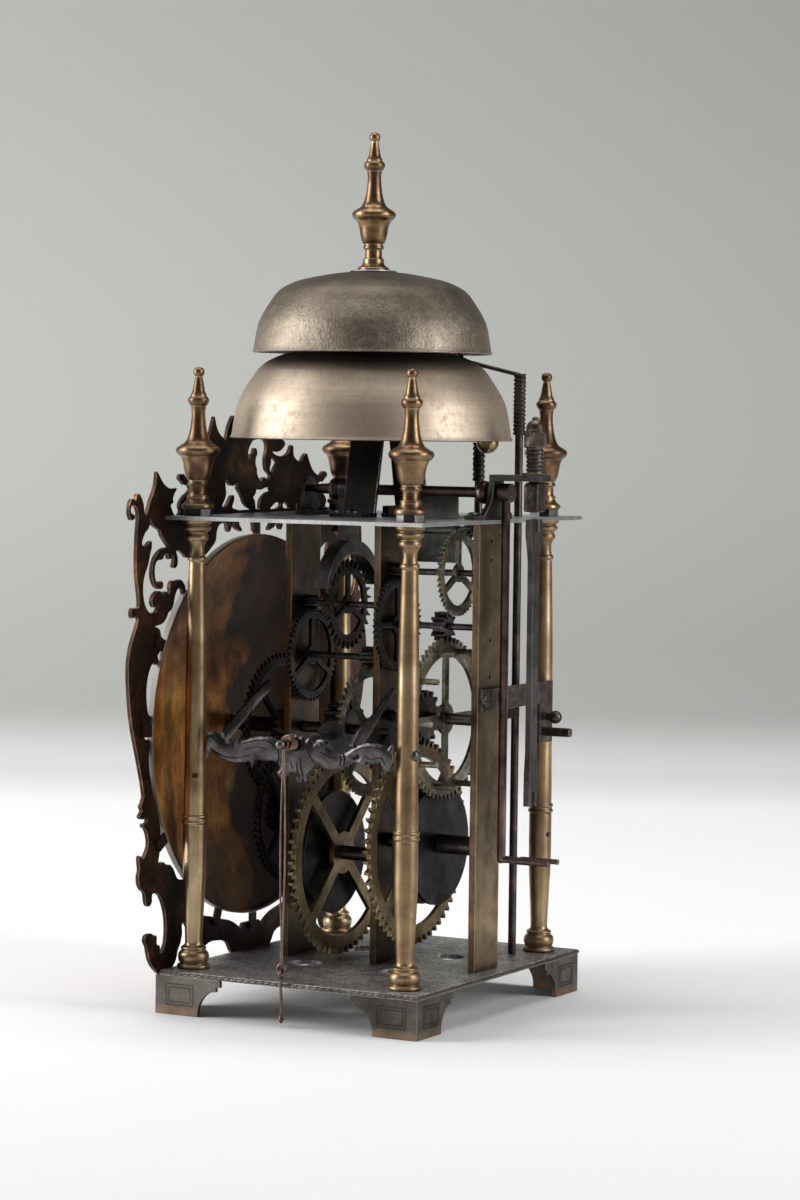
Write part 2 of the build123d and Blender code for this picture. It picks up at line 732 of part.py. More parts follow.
with BuildPart() as pin_wheel_arbor:
    arbor(0, pin_z, middle_back_shoulder, back_shoulder, middle_bar_face, back_bar_back,
          centre_arbor_radius)
    pinion(0, pin_z, strike_great_y - pinion_face / 2, strike_great_y + pinion_face / 2,
           centre_leaves, great_module, 270, centre_arbor_radius)
pin_wheel_arbor.part.label = "pin_wheel_arbor"
export_step(pin_wheel_arbor.part, "parts/pin_wheel_arbor.step")

with BuildPart() as strike_third_wheel:
    wheel(strike_third_y, 0, strike_third_z, wheel_edge(strike_third_teeth, third_module, 90),
          strike_third_teeth * third_module / 2 - 3.4, 4.2, 4, 2.2, arbor_radius, wheel_thickness)
strike_third_wheel.part.label = "strike_third_wheel"
export_step(strike_third_wheel.part, "parts/strike_third_wheel.step")

with BuildPart() as strike_third_arbor:
    arbor(0, strike_third_z, middle_back_shoulder, back_shoulder, middle_bar_face, back_bar_back)
    pinion(0, strike_third_z, pin_wheel_y - 4.5, pin_wheel_y + wheel_thickness,
           strike_third_leaves, pin_module, 270, arbor_radius)
strike_third_arbor.part.label = "strike_third_arbor"
export_step(strike_third_arbor.part, "parts/strike_third_arbor.step")

fly_angle = 90 + degrees(asin(-fly_x / fly_distance))
with BuildPart() as warning_wheel:
    wheel(warning_wheel_y, 0, warning_z, wheel_edge(warning_teeth, fly_module, fly_angle),
          warning_teeth * fly_module / 2 - 3.6, 3.8, 3, 2.4, arbor_radius, wheel_thickness)
warning_wheel.part.label = "warning_wheel"
export_step(warning_wheel.part, "parts/warning_wheel.step")

with BuildPart() as warning_arbor:
    arbor(0, warning_z, middle_back_shoulder, back_shoulder, middle_bar_face, back_bar_back)
    pinion(0, warning_z, middle_back_shoulder, middle_back_shoulder + small_pinion_face,
           warning_leaves, third_module, 270, arbor_radius)
warning_arbor.part.label = "warning_arbor"
export_step(warning_arbor.part, "parts/warning_arbor.step")

with BuildPart() as fly:
    arbor(fly_x, fly_z, middle_back_shoulder, back_shoulder, middle_bar_face, back_bar_back)
    pinion(fly_x, fly_z, warning_wheel_y - 2.0, warning_wheel_y + 2.0, fly_leaves, fly_module,
           fly_angle + 180, arbor_radius)
    slab((fly_x - fly_sheet / 2, fly_x + fly_sheet / 2), (fly_y - fly_width / 2, fly_y + fly_width / 2),
         (fly_z - fly_half_height, fly_z + fly_half_height))
    rod_y(fly_x, fly_z, fly_y - fly_width / 2, fly_y + fly_width / 2, arbor_radius + 0.8)
fly.part.label = "fly"
export_step(fly.part, "parts/fly.step")

# Anchor over the escape wheel, on an arbor between two cocks on the top plate
with BuildPart() as anchor:
    with BuildSketch(upright(escape_wheel_y + anchor_width / 2, 0, escape_z)) as anchor_face:
        inner = escape_radius + pallet_clear
        with BuildLine():
            left = (-inner * cos(radians(pallet_tip_angle)), inner * sin(radians(pallet_tip_angle)))
            right = (-left[0], left[1])
            ThreePointArc(left, (0, inner), right)
            Line(right, (right[0] + pallet_tip, right[1]))
            ThreePointArc((right[0] + pallet_tip, right[1]), (0, inner + anchor_thickness),
                          (left[0] - pallet_tip, left[1]))
            Line((left[0] - pallet_tip, left[1]), left)
        make_face()
        stem_top = pallet_z - escape_z
        with Locations((0, (inner + 1 + stem_top) / 2)):
            Rectangle(anchor_stem, stem_top - inner - 1)
        with Locations((0, stem_top)):
            Circle(pallet_arbor_radius + 2.6)
            Circle(pallet_arbor_radius, mode=Mode.SUBTRACT)
    extrude(anchor_face.sketch, amount=anchor_width)
anchor.part.label = "anchor"
export_step(anchor.part, "parts/anchor.step")

front_cock_back = front_cock_y + cock_thickness / 2
back_cock_front = back_cock_y - back_cock_thickness / 2
back_cock_back = back_cock_y + back_cock_thickness / 2
crutch_hub_front = crutch_y - 2.5
crutch_hub_back = crutch_y + 2.5
with BuildPart() as pallet_arbor:
    rod_y(0, pallet_z, front_cock_back + end_shake, back_cock_front - end_shake, pallet_arbor_radius)
    rod_y(0, pallet_z, front_cock_y - cock_thickness / 2, front_cock_back + end_shake, pivot_radius)
    rod_y(0, pallet_z, back_cock_front - end_shake, crutch_hub_back, pallet_pivot_radius)
    for collet_front in (escape_wheel_y + anchor_width / 2, back_cock_front - end_shake - 6.0):
        rod_y(0, pallet_z, collet_front, collet_front + 5.0, pallet_arbor_radius + 2.4)
pallet_arbor.part.label = "pallet_arbor"
export_step(pallet_arbor.part, "parts/pallet_arbor.step")

with BuildPart() as front_cock:
    cock_top = pallet_rise + 5.0
    with BuildSketch(upright(front_cock_back, 0, top_z)) as cock_face:
        with BuildLine():
            Polyline((-9, 0), (9, 0), (9, 2))
            ThreePointArc((9, 2), (5.6, 8), (4.4, cock_top - 3))
            ThreePointArc((4.4, cock_top - 3), (0, cock_top), (-4.4, cock_top - 3))
            ThreePointArc((-4.4, cock_top - 3), (-5.6, 8), (-9, 2))
            Line((-9, 2), (-9, 0))
        make_face()
        with Locations((0, pallet_rise)):
            Circle(pivot_radius + running, mode=Mode.SUBTRACT)
    extrude(cock_face.sketch, amount=cock_thickness)
    slab((-9, 9), (front_cock_back, front_cock_back + 7.0), (top_z, top_z + cock_thickness))
    for screw_x, screw_y in cock_screws[:2]:
        rod_z(screw_x, screw_y, top_z, top_z + cock_thickness, screw_radius, Mode.SUBTRACT)
front_cock.part.label = "front_cock"
export_step(front_cock.part, "parts/front_cock.step")

cock_arm_low = 16.0
cock_arm_high = 18.5
cock_arm_half = 4.6
with BuildPart() as back_cock:
    with BuildSketch(upright(back_cock_back, 0, top_z)) as cock_face:
        with BuildLine():
            Polyline((-12.5, 0), (12.5, 0), (12.5, 2))
            ThreePointArc((12.5, 2), (7.5, 6.5), (cock_arm_half, cock_arm_low - 3))
            Polyline((cock_arm_half, cock_arm_low - 3), (cock_arm_half, cock_arm_high),
                     (-cock_arm_half, cock_arm_high), (-cock_arm_half, cock_arm_low - 3))
            ThreePointArc((-cock_arm_half, cock_arm_low - 3), (-7.5, 6.5), (-12.5, 2))
            Line((-12.5, 2), (-12.5, 0))
        make_face()
        with Locations((0, pallet_rise)):
            Circle(pallet_pivot_radius + running, mode=Mode.SUBTRACT)
    extrude(cock_face.sketch, amount=back_cock_thickness)
    slab((-cock_arm_half, cock_arm_half), (back_cock_front, pendulum_y + 5.0),
         (top_z + cock_arm_low, top_z + cock_arm_high))
    rod_z(0, pendulum_y, top_z + cock_arm_low, top_z + cock_arm_high, suspension_radius, Mode.SUBTRACT)
    for side in (1, -1):
        slab((side * 10 - 2.5, side * 10 + 2.5), (back_cock_front - 7.3, back_cock_back),
             (top_z, top_z + cock_thickness))
    for screw_x, screw_y in cock_screws[2:]:
        rod_z(screw_x, screw_y, top_z, top_z + cock_thickness, screw_radius, Mode.SUBTRACT)
back_cock.part.label = "back_cock"
export_step(back_cock.part, "parts/back_cock.step")

with BuildPart() as crutch:
    crutch_foot_z = pallet_z - crutch_length
    rod_y(0, pallet_z, crutch_hub_front, crutch_hub_back, pallet_pivot_radius + 2.4)
    rod_y(0, pallet_z, crutch_hub_front, crutch_hub_back, pallet_pivot_radius, Mode.SUBTRACT)
    rod_z(0, crutch_y, crutch_foot_z, pallet_z - pallet_pivot_radius - 0.6, crutch_radius)
    ball(0, crutch_y, crutch_foot_z, crutch_radius)
    fork_start = pendulum_y - pendulum_sheet - 3.0
    rod_y(0, crutch_foot_z, crutch_y, fork_start, fork_radius + 0.4)
    rod_x(fork_start, crutch_foot_z, -crutch_fork_gap, crutch_fork_gap, fork_radius)
    for side in (1, -1):
        ball(side * crutch_fork_gap, fork_start, crutch_foot_z, fork_radius)
        rod_y(side * crutch_fork_gap, crutch_foot_z, fork_start, back_reach, fork_radius)
crutch.part.label = "crutch"
export_step(crutch.part, "parts/crutch.step")

# Suspension: a threaded stud through the cock's arm, a slit block, a strip and the pendulum's top
block_top = pallet_z + 3.0
block_low = block_top - 10.5
washer_top = top_z + cock_arm_low
stud_top = top_z + cock_arm_high + suspension_rise
with BuildPart() as suspension_stud:
    slab((-3, 3), (pendulum_y - 2.6, pendulum_y + 2.6), (block_low, block_top))
    slab((-slit_width / 2, slit_width / 2), (pendulum_y - 2.6, pendulum_y + 2.6),
         (block_low, block_top - 1.2), Mode.SUBTRACT)
    rod_x(pendulum_y, pallet_z, -3, 3, spring_pin_radius)
    rod_z(0, pendulum_y, block_top, washer_top, suspension_radius + 1.6)
    rod_z(0, pendulum_y, washer_top, top_z + cock_arm_high, suspension_radius)
    turned(0, pendulum_y, top_z + cock_arm_high,
           ridges(0, suspension_rise, thread_pitch, suspension_radius - 0.5, suspension_radius))
    turned(0, pendulum_y, stud_top, [(4.6, 0), (4.8, 1.2), (4.2, 2.6), (3.6, 3.2), (4.2, 4.2),
                                     (4.0, 6.0), (2.6, 7.4), (0.9, 8.0)])
suspension_stud.part.label = "suspension_stud"
export_step(suspension_stud.part, "parts/suspension_stud.step")

bar_head_top = block_low - 3.0
spring_foot = bar_head_top - 5.0
with BuildPart() as suspension_spring:
    slab((-spring_sheet / 2, spring_sheet / 2),
         (pendulum_y - spring_width / 2, pendulum_y + spring_width / 2), (spring_foot, pallet_z + 1.6))
    rod_x(pendulum_y, pallet_z, -spring_sheet, spring_sheet, spring_pin_radius + running, Mode.SUBTRACT)
suspension_spring.part.label = "suspension_spring"
export_step(suspension_spring.part, "parts/suspension_spring.step")

with BuildPart() as pendulum_bar:
    slab((-pendulum_width / 2, pendulum_width / 2),
         (pendulum_y - pendulum_sheet / 2, pendulum_y + pendulum_sheet / 2),
         (bar_head_top - pendulum_length, bar_head_top - 7.0))
    slab((-pendulum_width / 2 - 2, pendulum_width / 2 + 2),
         (pendulum_y - spring_width / 2 - 0.4, pendulum_y + spring_width / 2 + 0.4),
         (bar_head_top - 7.0, bar_head_top))
    slab((-spring_sheet / 2, spring_sheet / 2),
         (pendulum_y - spring_width / 2, pendulum_y + spring_width / 2),
         (spring_foot, bar_head_top), Mode.SUBTRACT)
    slab((-1.4, 1.4), (pendulum_y - pendulum_sheet / 2, pendulum_y + pendulum_sheet / 2),
         (bar_head_top - pendulum_length, bar_head_top - pendulum_length + 5.0), Mode.SUBTRACT)
pendulum_bar.part.label = "pendulum_bar"
export_step(pendulum_bar.part, "parts/pendulum_bar.step")

# Bell strap, post and two bells on one upright axis
with BuildPart() as bell_strap:
    crown_middle = strap_rise - strap_sheet / 2
    with BuildSketch(upright(strap_y + strap_width / 2, strap_x, top_z)) as strap_face:
        with BuildLine() as strap_line:
            FilletPolyline((-strap_foot, strap_sheet / 2), (-strap_crown, crown_middle),
                           (strap_crown, crown_middle), (strap_foot, strap_sheet / 2),
                           radius=strap_bend)
        trace(strap_line.line, line_width=strap_sheet)
        for side in (1, -1):
            with Locations((side * (strap_foot + (strap_toe - strap_sheet) / 2), strap_sheet / 2)):
                Rectangle(strap_toe + strap_sheet, strap_sheet)
    extrude(strap_face.sketch, amount=strap_width)
    rod_z(0, bell_y, top_z + strap_rise - 2 * strap_sheet, top_z + strap_rise, bell_post_radius,
          Mode.SUBTRACT)
    for screw_x, screw_y in strap_screws:
        rod_z(screw_x, screw_y, top_z, top_z + strap_sheet, screw_radius, Mode.SUBTRACT)
bell_strap.part.label = "bell_strap"
export_step(bell_strap.part, "parts/bell_strap.step")

strap_top = top_z + strap_rise
lower_rim = top_z + lower_bell_rise
upper_rim = top_z + upper_bell_rise
lower_crown = lower_rim + lower_bell_height
upper_crown = upper_rim + upper_bell_height
with BuildPart() as bell_post:
    turned(0, bell_y, 0, [
        (bell_post_radius, strap_top - strap_sheet), (bell_post_radius, strap_top), (6.0, strap_top),
        (6.0, strap_top + 3), (4.2, strap_top + 5), (4.2, lower_crown - bell_wall - 4),
        (6.0, lower_crown - bell_wall - 2), (6.0, lower_crown - bell_wall),
        (bell_post_radius, lower_crown - bell_wall), (bell_post_radius, upper_crown + finial_bore_depth),
    ])
bell_post.part.label = "bell_post"
export_step(bell_post.part, "parts/bell_post.step")

bell_shape = [(1.0, 0.0), (0.955, 0.32), (0.915, 0.47), (0.855, 0.615), (0.795, 0.738),
              (0.722, 0.82), (0.588, 0.9), (0.343, 0.973), (0.2, 1.0)]


def bell(rim_z, radius, height):
    """Shallow bell with an even wall and a bore for the post."""
    inside = radius - bell_wall
    depth = height - bell_wall
    with BuildSketch(upright(bell_y, 0, rim_z)) as face:
        with BuildLine():
            Spline([(radius * across, height * up) for across, up in bell_shape])
            Polyline((radius * bell_shape[-1][0], height), (bell_post_radius, height),
                     (bell_post_radius, depth), (inside * bell_shape[-1][0], depth))
            Spline([(inside * across, depth * up) for across, up in bell_shape])
            Line((radius, 0), (inside, 0))
        make_face()
    revolve(face.sketch, axis=Axis((0, frame_y + bell_y, rim_z), (0, 0, 1)))


with BuildPart() as lower_bell:
    bell(lower_rim, lower_bell_radius, lower_bell_height)
lower_bell.part.label = "lower_bell"
export_step(lower_bell.part, "parts/lower_bell.step")

with BuildPart() as upper_bell:
    bell(upper_rim, upper_bell_radius, upper_bell_height)
upper_bell.part.label = "upper_bell"
export_step(upper_bell.part, "parts/upper_bell.step")

with BuildPart() as bell_spacer:
    rod_z(0, bell_y, lower_crown, upper_crown - bell_wall, bell_post_radius + 3.0)
    rod_z(0, bell_y, lower_crown, upper_crown - bell_wall, bell_post_radius, Mode.SUBTRACT)
bell_spacer.part.label = "bell_spacer"
export_step(bell_spacer.part, "parts/bell_spacer.step")

with BuildPart() as bell_finial:
    finial(0, bell_y, upper_crown, finial_bore_depth, bell_post_radius)
bell_finial.part.label = "bell_finial"
export_step(bell_finial.part, "parts/bell_finial.step")

# Hammers on upright arbors: a coil on each arbor ends in a wire that carries the ball
coil_crest = hammer_arbor_radius + 0.9
coil_pitch = 1.9


def hammer(x, y, coil_low, coil_high, wire_points, ball_radius):
    """Upright arbor with its coil, wire and ball."""
    rod_z(x, y, foot_height, base_z + end_shake, hammer_pivot_radius)
    rod_z(x, y, base_z + end_shake, coil_low, hammer_arbor_radius)
    turned(x, y, 0, ridges(coil_low, coil_high, coil_pitch, hammer_arbor_radius, coil_crest))
    start = (x, y, coil_high - 0.5)
    for point in wire_points:
        rod_between(start, point, hammer_wire_radius)
        ball(*point, hammer_wire_radius)
        start = point
    ball(*wire_points[-1], ball_radius)


def ball_place(x, y, reach, wire, side):
    """Where an arm of the given length meets the circle of radius reach inside a bell."""
    across = hypot(x, y - bell_y)
    toward = atan2(bell_y - y, -x)
    lean = acos((across**2 + wire**2 - reach**2) / (2 * across * wire))
    return (x + wire * cos(toward + side * lean), y + wire * sin(toward + side * lean))


high_reach = upper_bell_radius - bell_wall - high_ball_radius - ball_gap
low_reach = lower_bell_radius - bell_wall - low_ball_radius - ball_gap
high_ball_x, high_ball_y = ball_place(high_hammer_x, high_hammer_y, high_reach, high_hammer_wire, -1)
low_ball_x, low_ball_y = ball_place(low_hammer_x, low_hammer_y, low_reach, low_hammer_wire, 1)
with BuildPart() as high_hammer:
    hammer(high_hammer_x, high_hammer_y, upper_rim - 33.5, upper_rim - 7.5,
           [(high_ball_x, high_ball_y + 1.5, upper_rim - 2.0), (high_ball_x, high_ball_y, upper_rim + 2.0)],
           high_ball_radius)
    slab((high_hammer_x, -strike_pin_circle - strike_pin_radius - 2.5),
         (high_hammer_y - 2, high_hammer_y + 2), (pin_z - 2, pin_z + 2))
high_hammer.part.label = "high_hammer"
export_step(high_hammer.part, "parts/high_hammer.step")

with BuildPart() as low_hammer:
    hammer(low_hammer_x, low_hammer_y, lower_rim - 17.5, lower_rim - 1.0,
           [(low_ball_x, low_ball_y, lower_rim - 0.8)], low_ball_radius)
low_hammer.part.label = "low_hammer"
export_step(low_hammer.part, "parts/low_hammer.step")

# Dial: a domed dish with a turned rim
dial_apex = dial_front - dial_dome
with BuildPart() as dial:
    with BuildSketch(sideways(0, 0, centre_z)) as dial_face:
        with BuildLine():
            Polyline((fret_back + dial_rim_back, dial_radius), (dial_front, dial_radius))
            ThreePointArc((dial_front, dial_radius), (dial_front - 0.29 * dial_dome * 2.6, dial_radius / 2),
                          (dial_apex, hour_pipe_radius + 0.6))
            Line((dial_apex, hour_pipe_radius + 0.6), (dial_apex + dial_sheet, hour_pipe_radius + 0.6))
            ThreePointArc((dial_apex + dial_sheet, hour_pipe_radius + 0.6),
                          (dial_front - 0.29 * dial_dome * 2.6 + dial_sheet, dial_radius / 2),
                          (dial_front + dial_sheet, dial_radius - dial_sheet))
            Polyline((dial_front + dial_sheet, dial_radius - dial_sheet),
                     (fret_back + dial_rim_back, dial_radius - dial_sheet),
                     (fret_back + dial_rim_back, dial_radius))
        make_face()
    revolve(dial_face.sketch, axis=Axis((0, frame_y, centre_z), (0, 1, 0)))
    for tab_angle in dial_tab_angles:
        with BuildSketch(upright(fret_back + tab_sheet, 0, centre_z)) as tab_face:
            with Locations(Rotation(0, 0, tab_angle)):
                with Locations((dial_radius + tab_length / 2 - 0.6, 0)):
                    Rectangle(tab_length + 1.2, tab_width)
        extrude(tab_face.sketch, amount=tab_sheet)
dial.part.label = "dial"
export_step(dial.part, "parts/dial.step")


def outline(*runs):
    """Closed edge made of runs, each a smooth curve through its points, with corners between."""
    start = runs[-1][-1]
    for run in runs:
        if len(run) == 1:
            Line(start, run[0])
        else:
            Spline([start, *run])
        start = run[-1]


# Fret: one pierced plate, drawn as half of its pattern and mirrored. The pattern's own heights,
# of its foot, the dial's middle, the top plate and the bell's rim, move to where these are.
fret_widen = dial_radius / 81.4
fret_heights = [(16.0, foot_height), (114.9, centre_z), (205.5, top_z), (237.5, lower_rim)]


def fret_place(across, height):
    """Where a point of the fret's pattern comes, stretched between the heights next to it."""
    for (drawn_low, low), (drawn_high, high) in zip(fret_heights, fret_heights[1:]):
        if height <= drawn_high or drawn_high == fret_heights[-1][0]:
            share = (height - drawn_low) / (drawn_high - drawn_low)
            return (across * fret_widen, low + share * (high - low))


def fret_outline(*runs):
    """Closed edge of the fret's pattern, drawn from its own points."""
    outline(*[[fret_place(*point) for point in run] for run in runs])


with BuildPart() as fret:
    with BuildSketch(upright(fret_back)) as fret_face:
        with BuildLine():
            fret_outline([(78, 20), (83, 31)], [(77, 33), (74, 28), (69, 25)],
                         [(67, 36), (71, 46), (77, 50)], [(80, 45.5), (83, 50)], [(87.5, 55), (86, 61)],
                         [(88, 65), (83, 71)], [(84, 76), (86, 82), (85, 86)], [(87, 89), (85.5, 93)],
                         [(89, 106), (94, 122), (96.5, 140), (94, 154), (90, 161)],
                         [(95, 165.5), (89, 168)], [(91, 178), (92, 192), (91, 204)],
                         [(97, 205), (98, 211), (91, 215), (85, 210)], [(84, 203)], [(85, 198), (86, 194)],
                         [(80, 195)], [(83, 186), (86, 176), (84, 168), (77, 166)], [(79, 170), (76, 174)],
                         [(70, 173), (62, 179), (52, 175)], [(59, 168), (67, 163), (75, 161)],
                         [(71.5, 155), (75, 146)], [(80, 142), (81, 130), (78, 119)], [(78, 108), (72, 65)],
                         [(62, 58), (55, 45)], [(55, 21)], [(63, 17), (68, 16)])
        make_face()
        with BuildLine():
            fret_outline([(81, 214), (77, 224)], [(70, 217), (61, 216)], [(66, 211), (60, 206)], [(60, 199)],
                         [(72, 197), (85, 203)], [(84, 207)])
        make_face()
        with BuildLine() as scroll_line:
            Spline([fret_place(*point) for point in ((71, 198), (62, 191), (62, 185.5), (67, 187),
                                                     (74, 190.5), (79.5, 185), (76, 173))])
        trace(scroll_line.line, line_width=2.6)
        with BuildLine():
            fret_outline([(61, 206)], [(56, 213), (55, 221)], [(48, 223), (43, 231)], [(39, 228), (35, 229)],
                         [(39, 238), (32, 246)], [(30, 239), (27.5, 237)], [(26.5, 242), (23.5, 247)],
                         [(22, 240), (17, 235)], [(9, 233), (0, 236)], [(0, 198.5)], [(30, 201), (61, 199)])
        make_face()
        with BuildLine():
            fret_outline([(9, 214), (15, 219), (23, 218)], [(25, 209), (22, 206)], [(6, 206)])
        make_face(mode=Mode.SUBTRACT)
        with BuildLine():
            fret_outline([(36, 218), (43, 221)], [(50, 213), (51, 206)], [(32, 207)])
        make_face(mode=Mode.SUBTRACT)
        with BuildLine():
            fret_outline([(0, 219)], [(4, 223), (2.5, 228), (0, 231)])
        make_face(mode=Mode.SUBTRACT)
        with BuildLine():
            fret_outline([(0, 16)], [(10, 16), (20, 19)], [(30, 24), (40, 21), (56, 20)], [(56, 40)],
                         [(46, 36), (36, 37)], [(23, 33), (12, 27), (0, 28)])
        make_face()
        mirror(about=Plane.YZ)
        with Locations((0, centre_z)):
            Circle(dial_radius, mode=Mode.SUBTRACT)
    extrude(fret_face.sketch, amount=fret_sheet)
fret.part.label = "fret"
export_step(fret.part, "parts/fret.step")


def hand(y, length, tail, ring, blade, bore):
    """Pierced hand pointing up, with a round boss on its pipe or arbor."""
    with BuildSketch(upright(y + hand_sheet / 2, 0, centre_z)) as face:
        Circle(bore + 3.2)
        with Locations((0, length * 0.55)):
            Circle(ring)
            Circle(ring - blade, mode=Mode.SUBTRACT)
        with BuildLine():
            Polyline((-blade, 0), (blade, 0), (blade * 0.6, length * 0.55 - ring + blade / 2),
                     (-blade * 0.6, length * 0.55 - ring + blade / 2), (-blade, 0))
        make_face()
        with BuildLine():
            Polyline((-blade, length * 0.55 + ring - blade / 2), (blade, length * 0.55 + ring - blade / 2),
                     (blade * 0.3, length), (-blade * 0.3, length),
                     (-blade, length * 0.55 + ring - blade / 2))
        make_face()
        with BuildLine():
            Polyline((-blade, 0), (blade, 0), (blade * 0.6, -tail), (-blade * 0.6, -tail), (-blade, 0))
        make_face()
        Circle(bore, mode=Mode.SUBTRACT)
    extrude(face.sketch, amount=hand_sheet)


with BuildPart() as hour_hand:
    hand(hour_hand_y, dial_radius * 0.58, 14, 6.5, 2.2, hour_pipe_radius)
hour_hand.part.label = "hour_hand"
export_step(hour_hand.part, "parts/hour_hand.step")

with BuildPart() as minute_hand:
    hand(minute_hand_y, dial_radius * 0.86, 17, 5.0, 1.8, hand_arbor_radius)
minute_hand.part.label = "minute_hand"
export_step(minute_hand.part, "parts/minute_hand.step")

# Bridge for the count lever behind the back bar, with a riveted stud
bridge_sheet = 2.0
bridge_half = 4.6
bridge_end_x = -55.0
bridge_tab = 12.0
bridge_stud_z = 114.4
with BuildPart() as bridge_plate:
    bridge_back = back_bar_back + bridge_sheet
    slab((bridge_end_x, bar_width / 2), (back_bar_back, bridge_back),
         (bridge_z - bridge_half, bridge_z + bridge_half))
    slab((bridge_end_x, bridge_end_x + bridge_tab), (back_bar_back, bridge_back),
         (bridge_stud_z - 5, bridge_z + bridge_half))
    for side in (1, -1):
        rod_y(side * lever_screw_x, bridge_z, back_bar_back, bridge_back, screw_radius, Mode.SUBTRACT)
    rod_y(bridge_end_x + bridge_tab - 3, bridge_stud_z, bridge_back, bridge_back + 13, 1.9)
    rod_y(bridge_end_x + bridge_tab / 2, bridge_stud_z + 6, bridge_back, bridge_back + 3, 1.6)
    ball(bridge_end_x + bridge_tab / 2, bridge_back + 4.4, bridge_stud_z + 6, 2.8)
bridge_plate.part.label = "bridge_plate"
export_step(bridge_plate.part, "parts/bridge_plate.step")

# Lifting lever on the right side, with its cock, post, coil and pull wire
cheek_x = 34.0
cheek_sheet = 2.2
cock_foot_low = lever_foot_z - 4.0
cock_foot_high = lever_foot_z + 4.4
with BuildPart() as lever_cock:
    foot_back = middle_bar_back + cheek_sheet
    slab((lever_screw_x - 5, cheek_x + cheek_sheet), (middle_bar_back, foot_back),
         (cock_foot_low, cock_foot_high))
    with BuildSketch(sideways(cheek_x)) as cheek_face:
        with Locations((lever_y, lever_z)):
            Circle(6.5)
        with Locations(((lever_y + foot_back) / 2, (cock_foot_low + cock_foot_high) / 2)):
            Rectangle(foot_back - lever_y, cock_foot_high - cock_foot_low)
        with Locations((lever_y, lever_z)):
            Circle(lever_post_radius, mode=Mode.SUBTRACT)
    extrude(cheek_face.sketch, amount=cheek_sheet)
    rod_y(lever_screw_x, lever_foot_z, middle_bar_back, foot_back, screw_radius, Mode.SUBTRACT)
lever_cock.part.label = "lever_cock"
export_step(lever_cock.part, "parts/lever_cock.step")

coil_start = lever_x + lever_sheet / 2 + end_shake
coil_end = coil_start + 4.2
knob_start = wire_x + wire_radius + slack
with BuildPart() as lever_post:
    rod_x(lever_y, lever_z, cheek_x, coil_end, lever_post_radius)
    rod_x(lever_y, lever_z, cheek_x - 3, cheek_x, lever_post_radius + 1.4)
    rod_x(lever_y, lever_z, lever_x - lever_sheet / 2 - end_shake - 2, lever_x - lever_sheet / 2 - end_shake,
          lever_post_radius + 1.4)
    rod_x(lever_y, lever_z, coil_end, knob_start + 1, wire_eye - wire_radius - 0.2)
    ball(knob_start + 1.6, lever_y, lever_z, 2.2)
lever_post.part.label = "lever_post"
export_step(lever_post.part, "parts/lever_post.step")

with BuildPart() as lever_coil:
    with BuildSketch(upright(lever_y, 0, lever_z)) as coil_face:
        coil_rows = [(along, radius) for radius, along in
                     ridges(coil_start, coil_end, 1.4, lever_post_radius + 0.5, lever_post_radius + 1.5)]
        Polygon((coil_start, lever_post_radius), *coil_rows, (coil_end, lever_post_radius))
    revolve(coil_face.sketch, axis=Axis((0, frame_y + lever_y, lever_z), (1, 0, 0)))
lever_coil.part.label = "lever_coil"
export_step(lever_coil.part, "parts/lever_coil.step")

with BuildPart() as scroll_lever:
    with BuildSketch(sideways(lever_x - lever_sheet / 2, lever_y, lever_z)) as lever_face:
        with BuildLine():
            outline([(-6, -4), (0, -6.5), (7, -4)], [(14, -7), (24, -9), (31, -5)],
                    [(35, -8), (42, -6), (46, 0)], [(41, 4), (34, 3)], [(28, 7), (20, 3), (13, 3)],
                    [(8, 6), (0, 7.5), (-8, 5)], [(-18, 2), (-29, 4)], [(-34, 9), (-41, 8), (-43, 2)],
                    [(-38, -3), (-30, -4), (-14, -7)])
        make_face()
        Circle(lever_post_radius + running, mode=Mode.SUBTRACT)
        with Locations((30, -1)):
            Circle(2.2, mode=Mode.SUBTRACT)
    extrude(lever_face.sketch, amount=lever_sheet)
    rod_between((lever_x, lever_y - 39, lever_z + 3), (22, lever_y - 39, lever_z + 13), 1.7)
    ball(22, lever_y - 39, lever_z + 13, 1.7)
    rod_between((lever_x, lever_y + 27, lever_z + 1), (32, lever_y + 27, lever_z + 20), 1.7)
    ball(32, lever_y + 27, lever_z + 20, 1.7)
scroll_lever.part.label = "scroll_lever"
export_step(scroll_lever.part, "parts/scroll_lever.step")


def eye_x(x, y, z):
    """Wire eye whose hole runs along X."""
    with BuildSketch(level(z)) as face:
        with Locations((x, y + wire_eye)):
            Circle(wire_radius)
    revolve(face.sketch, axis=Axis((x, frame_y + y, z), (1, 0, 0)))


def eye_y(x, y, z):
    """Wire eye whose hole runs along Y."""
    with BuildSketch(level(z)) as face:
        with Locations((x + wire_eye, y)):
            Circle(wire_radius)
    revolve(face.sketch, axis=Axis((x, frame_y + y, z), (0, 1, 0)))


upper_eye_z = lever_z - 0.1
lower_eye_z = 24.0
tail_eye_z = lower_eye_z - 2 * (wire_eye - wire_radius) + 0.1
with BuildPart() as pull_wire:
    eye_x(wire_x, lever_y, upper_eye_z)
    rod_z(wire_x, lever_y, lower_eye_z + wire_eye, upper_eye_z - wire_eye, wire_radius)
    eye_x(wire_x, lever_y, lower_eye_z)
pull_wire.part.label = "pull_wire"
export_step(pull_wire.part, "parts/pull_wire.step")

with BuildPart() as pull_tail:
    eye_y(wire_x, lever_y, tail_eye_z)
    rod_z(wire_x, lever_y, tail_clearance + 1.5, tail_eye_z - wire_eye, wire_radius)
    ball(wire_x, lever_y, tail_clearance + 1.5, 1.5)
pull_tail.part.label = "pull_tail"
export_step(pull_tail.part, "parts/pull_tail.step")


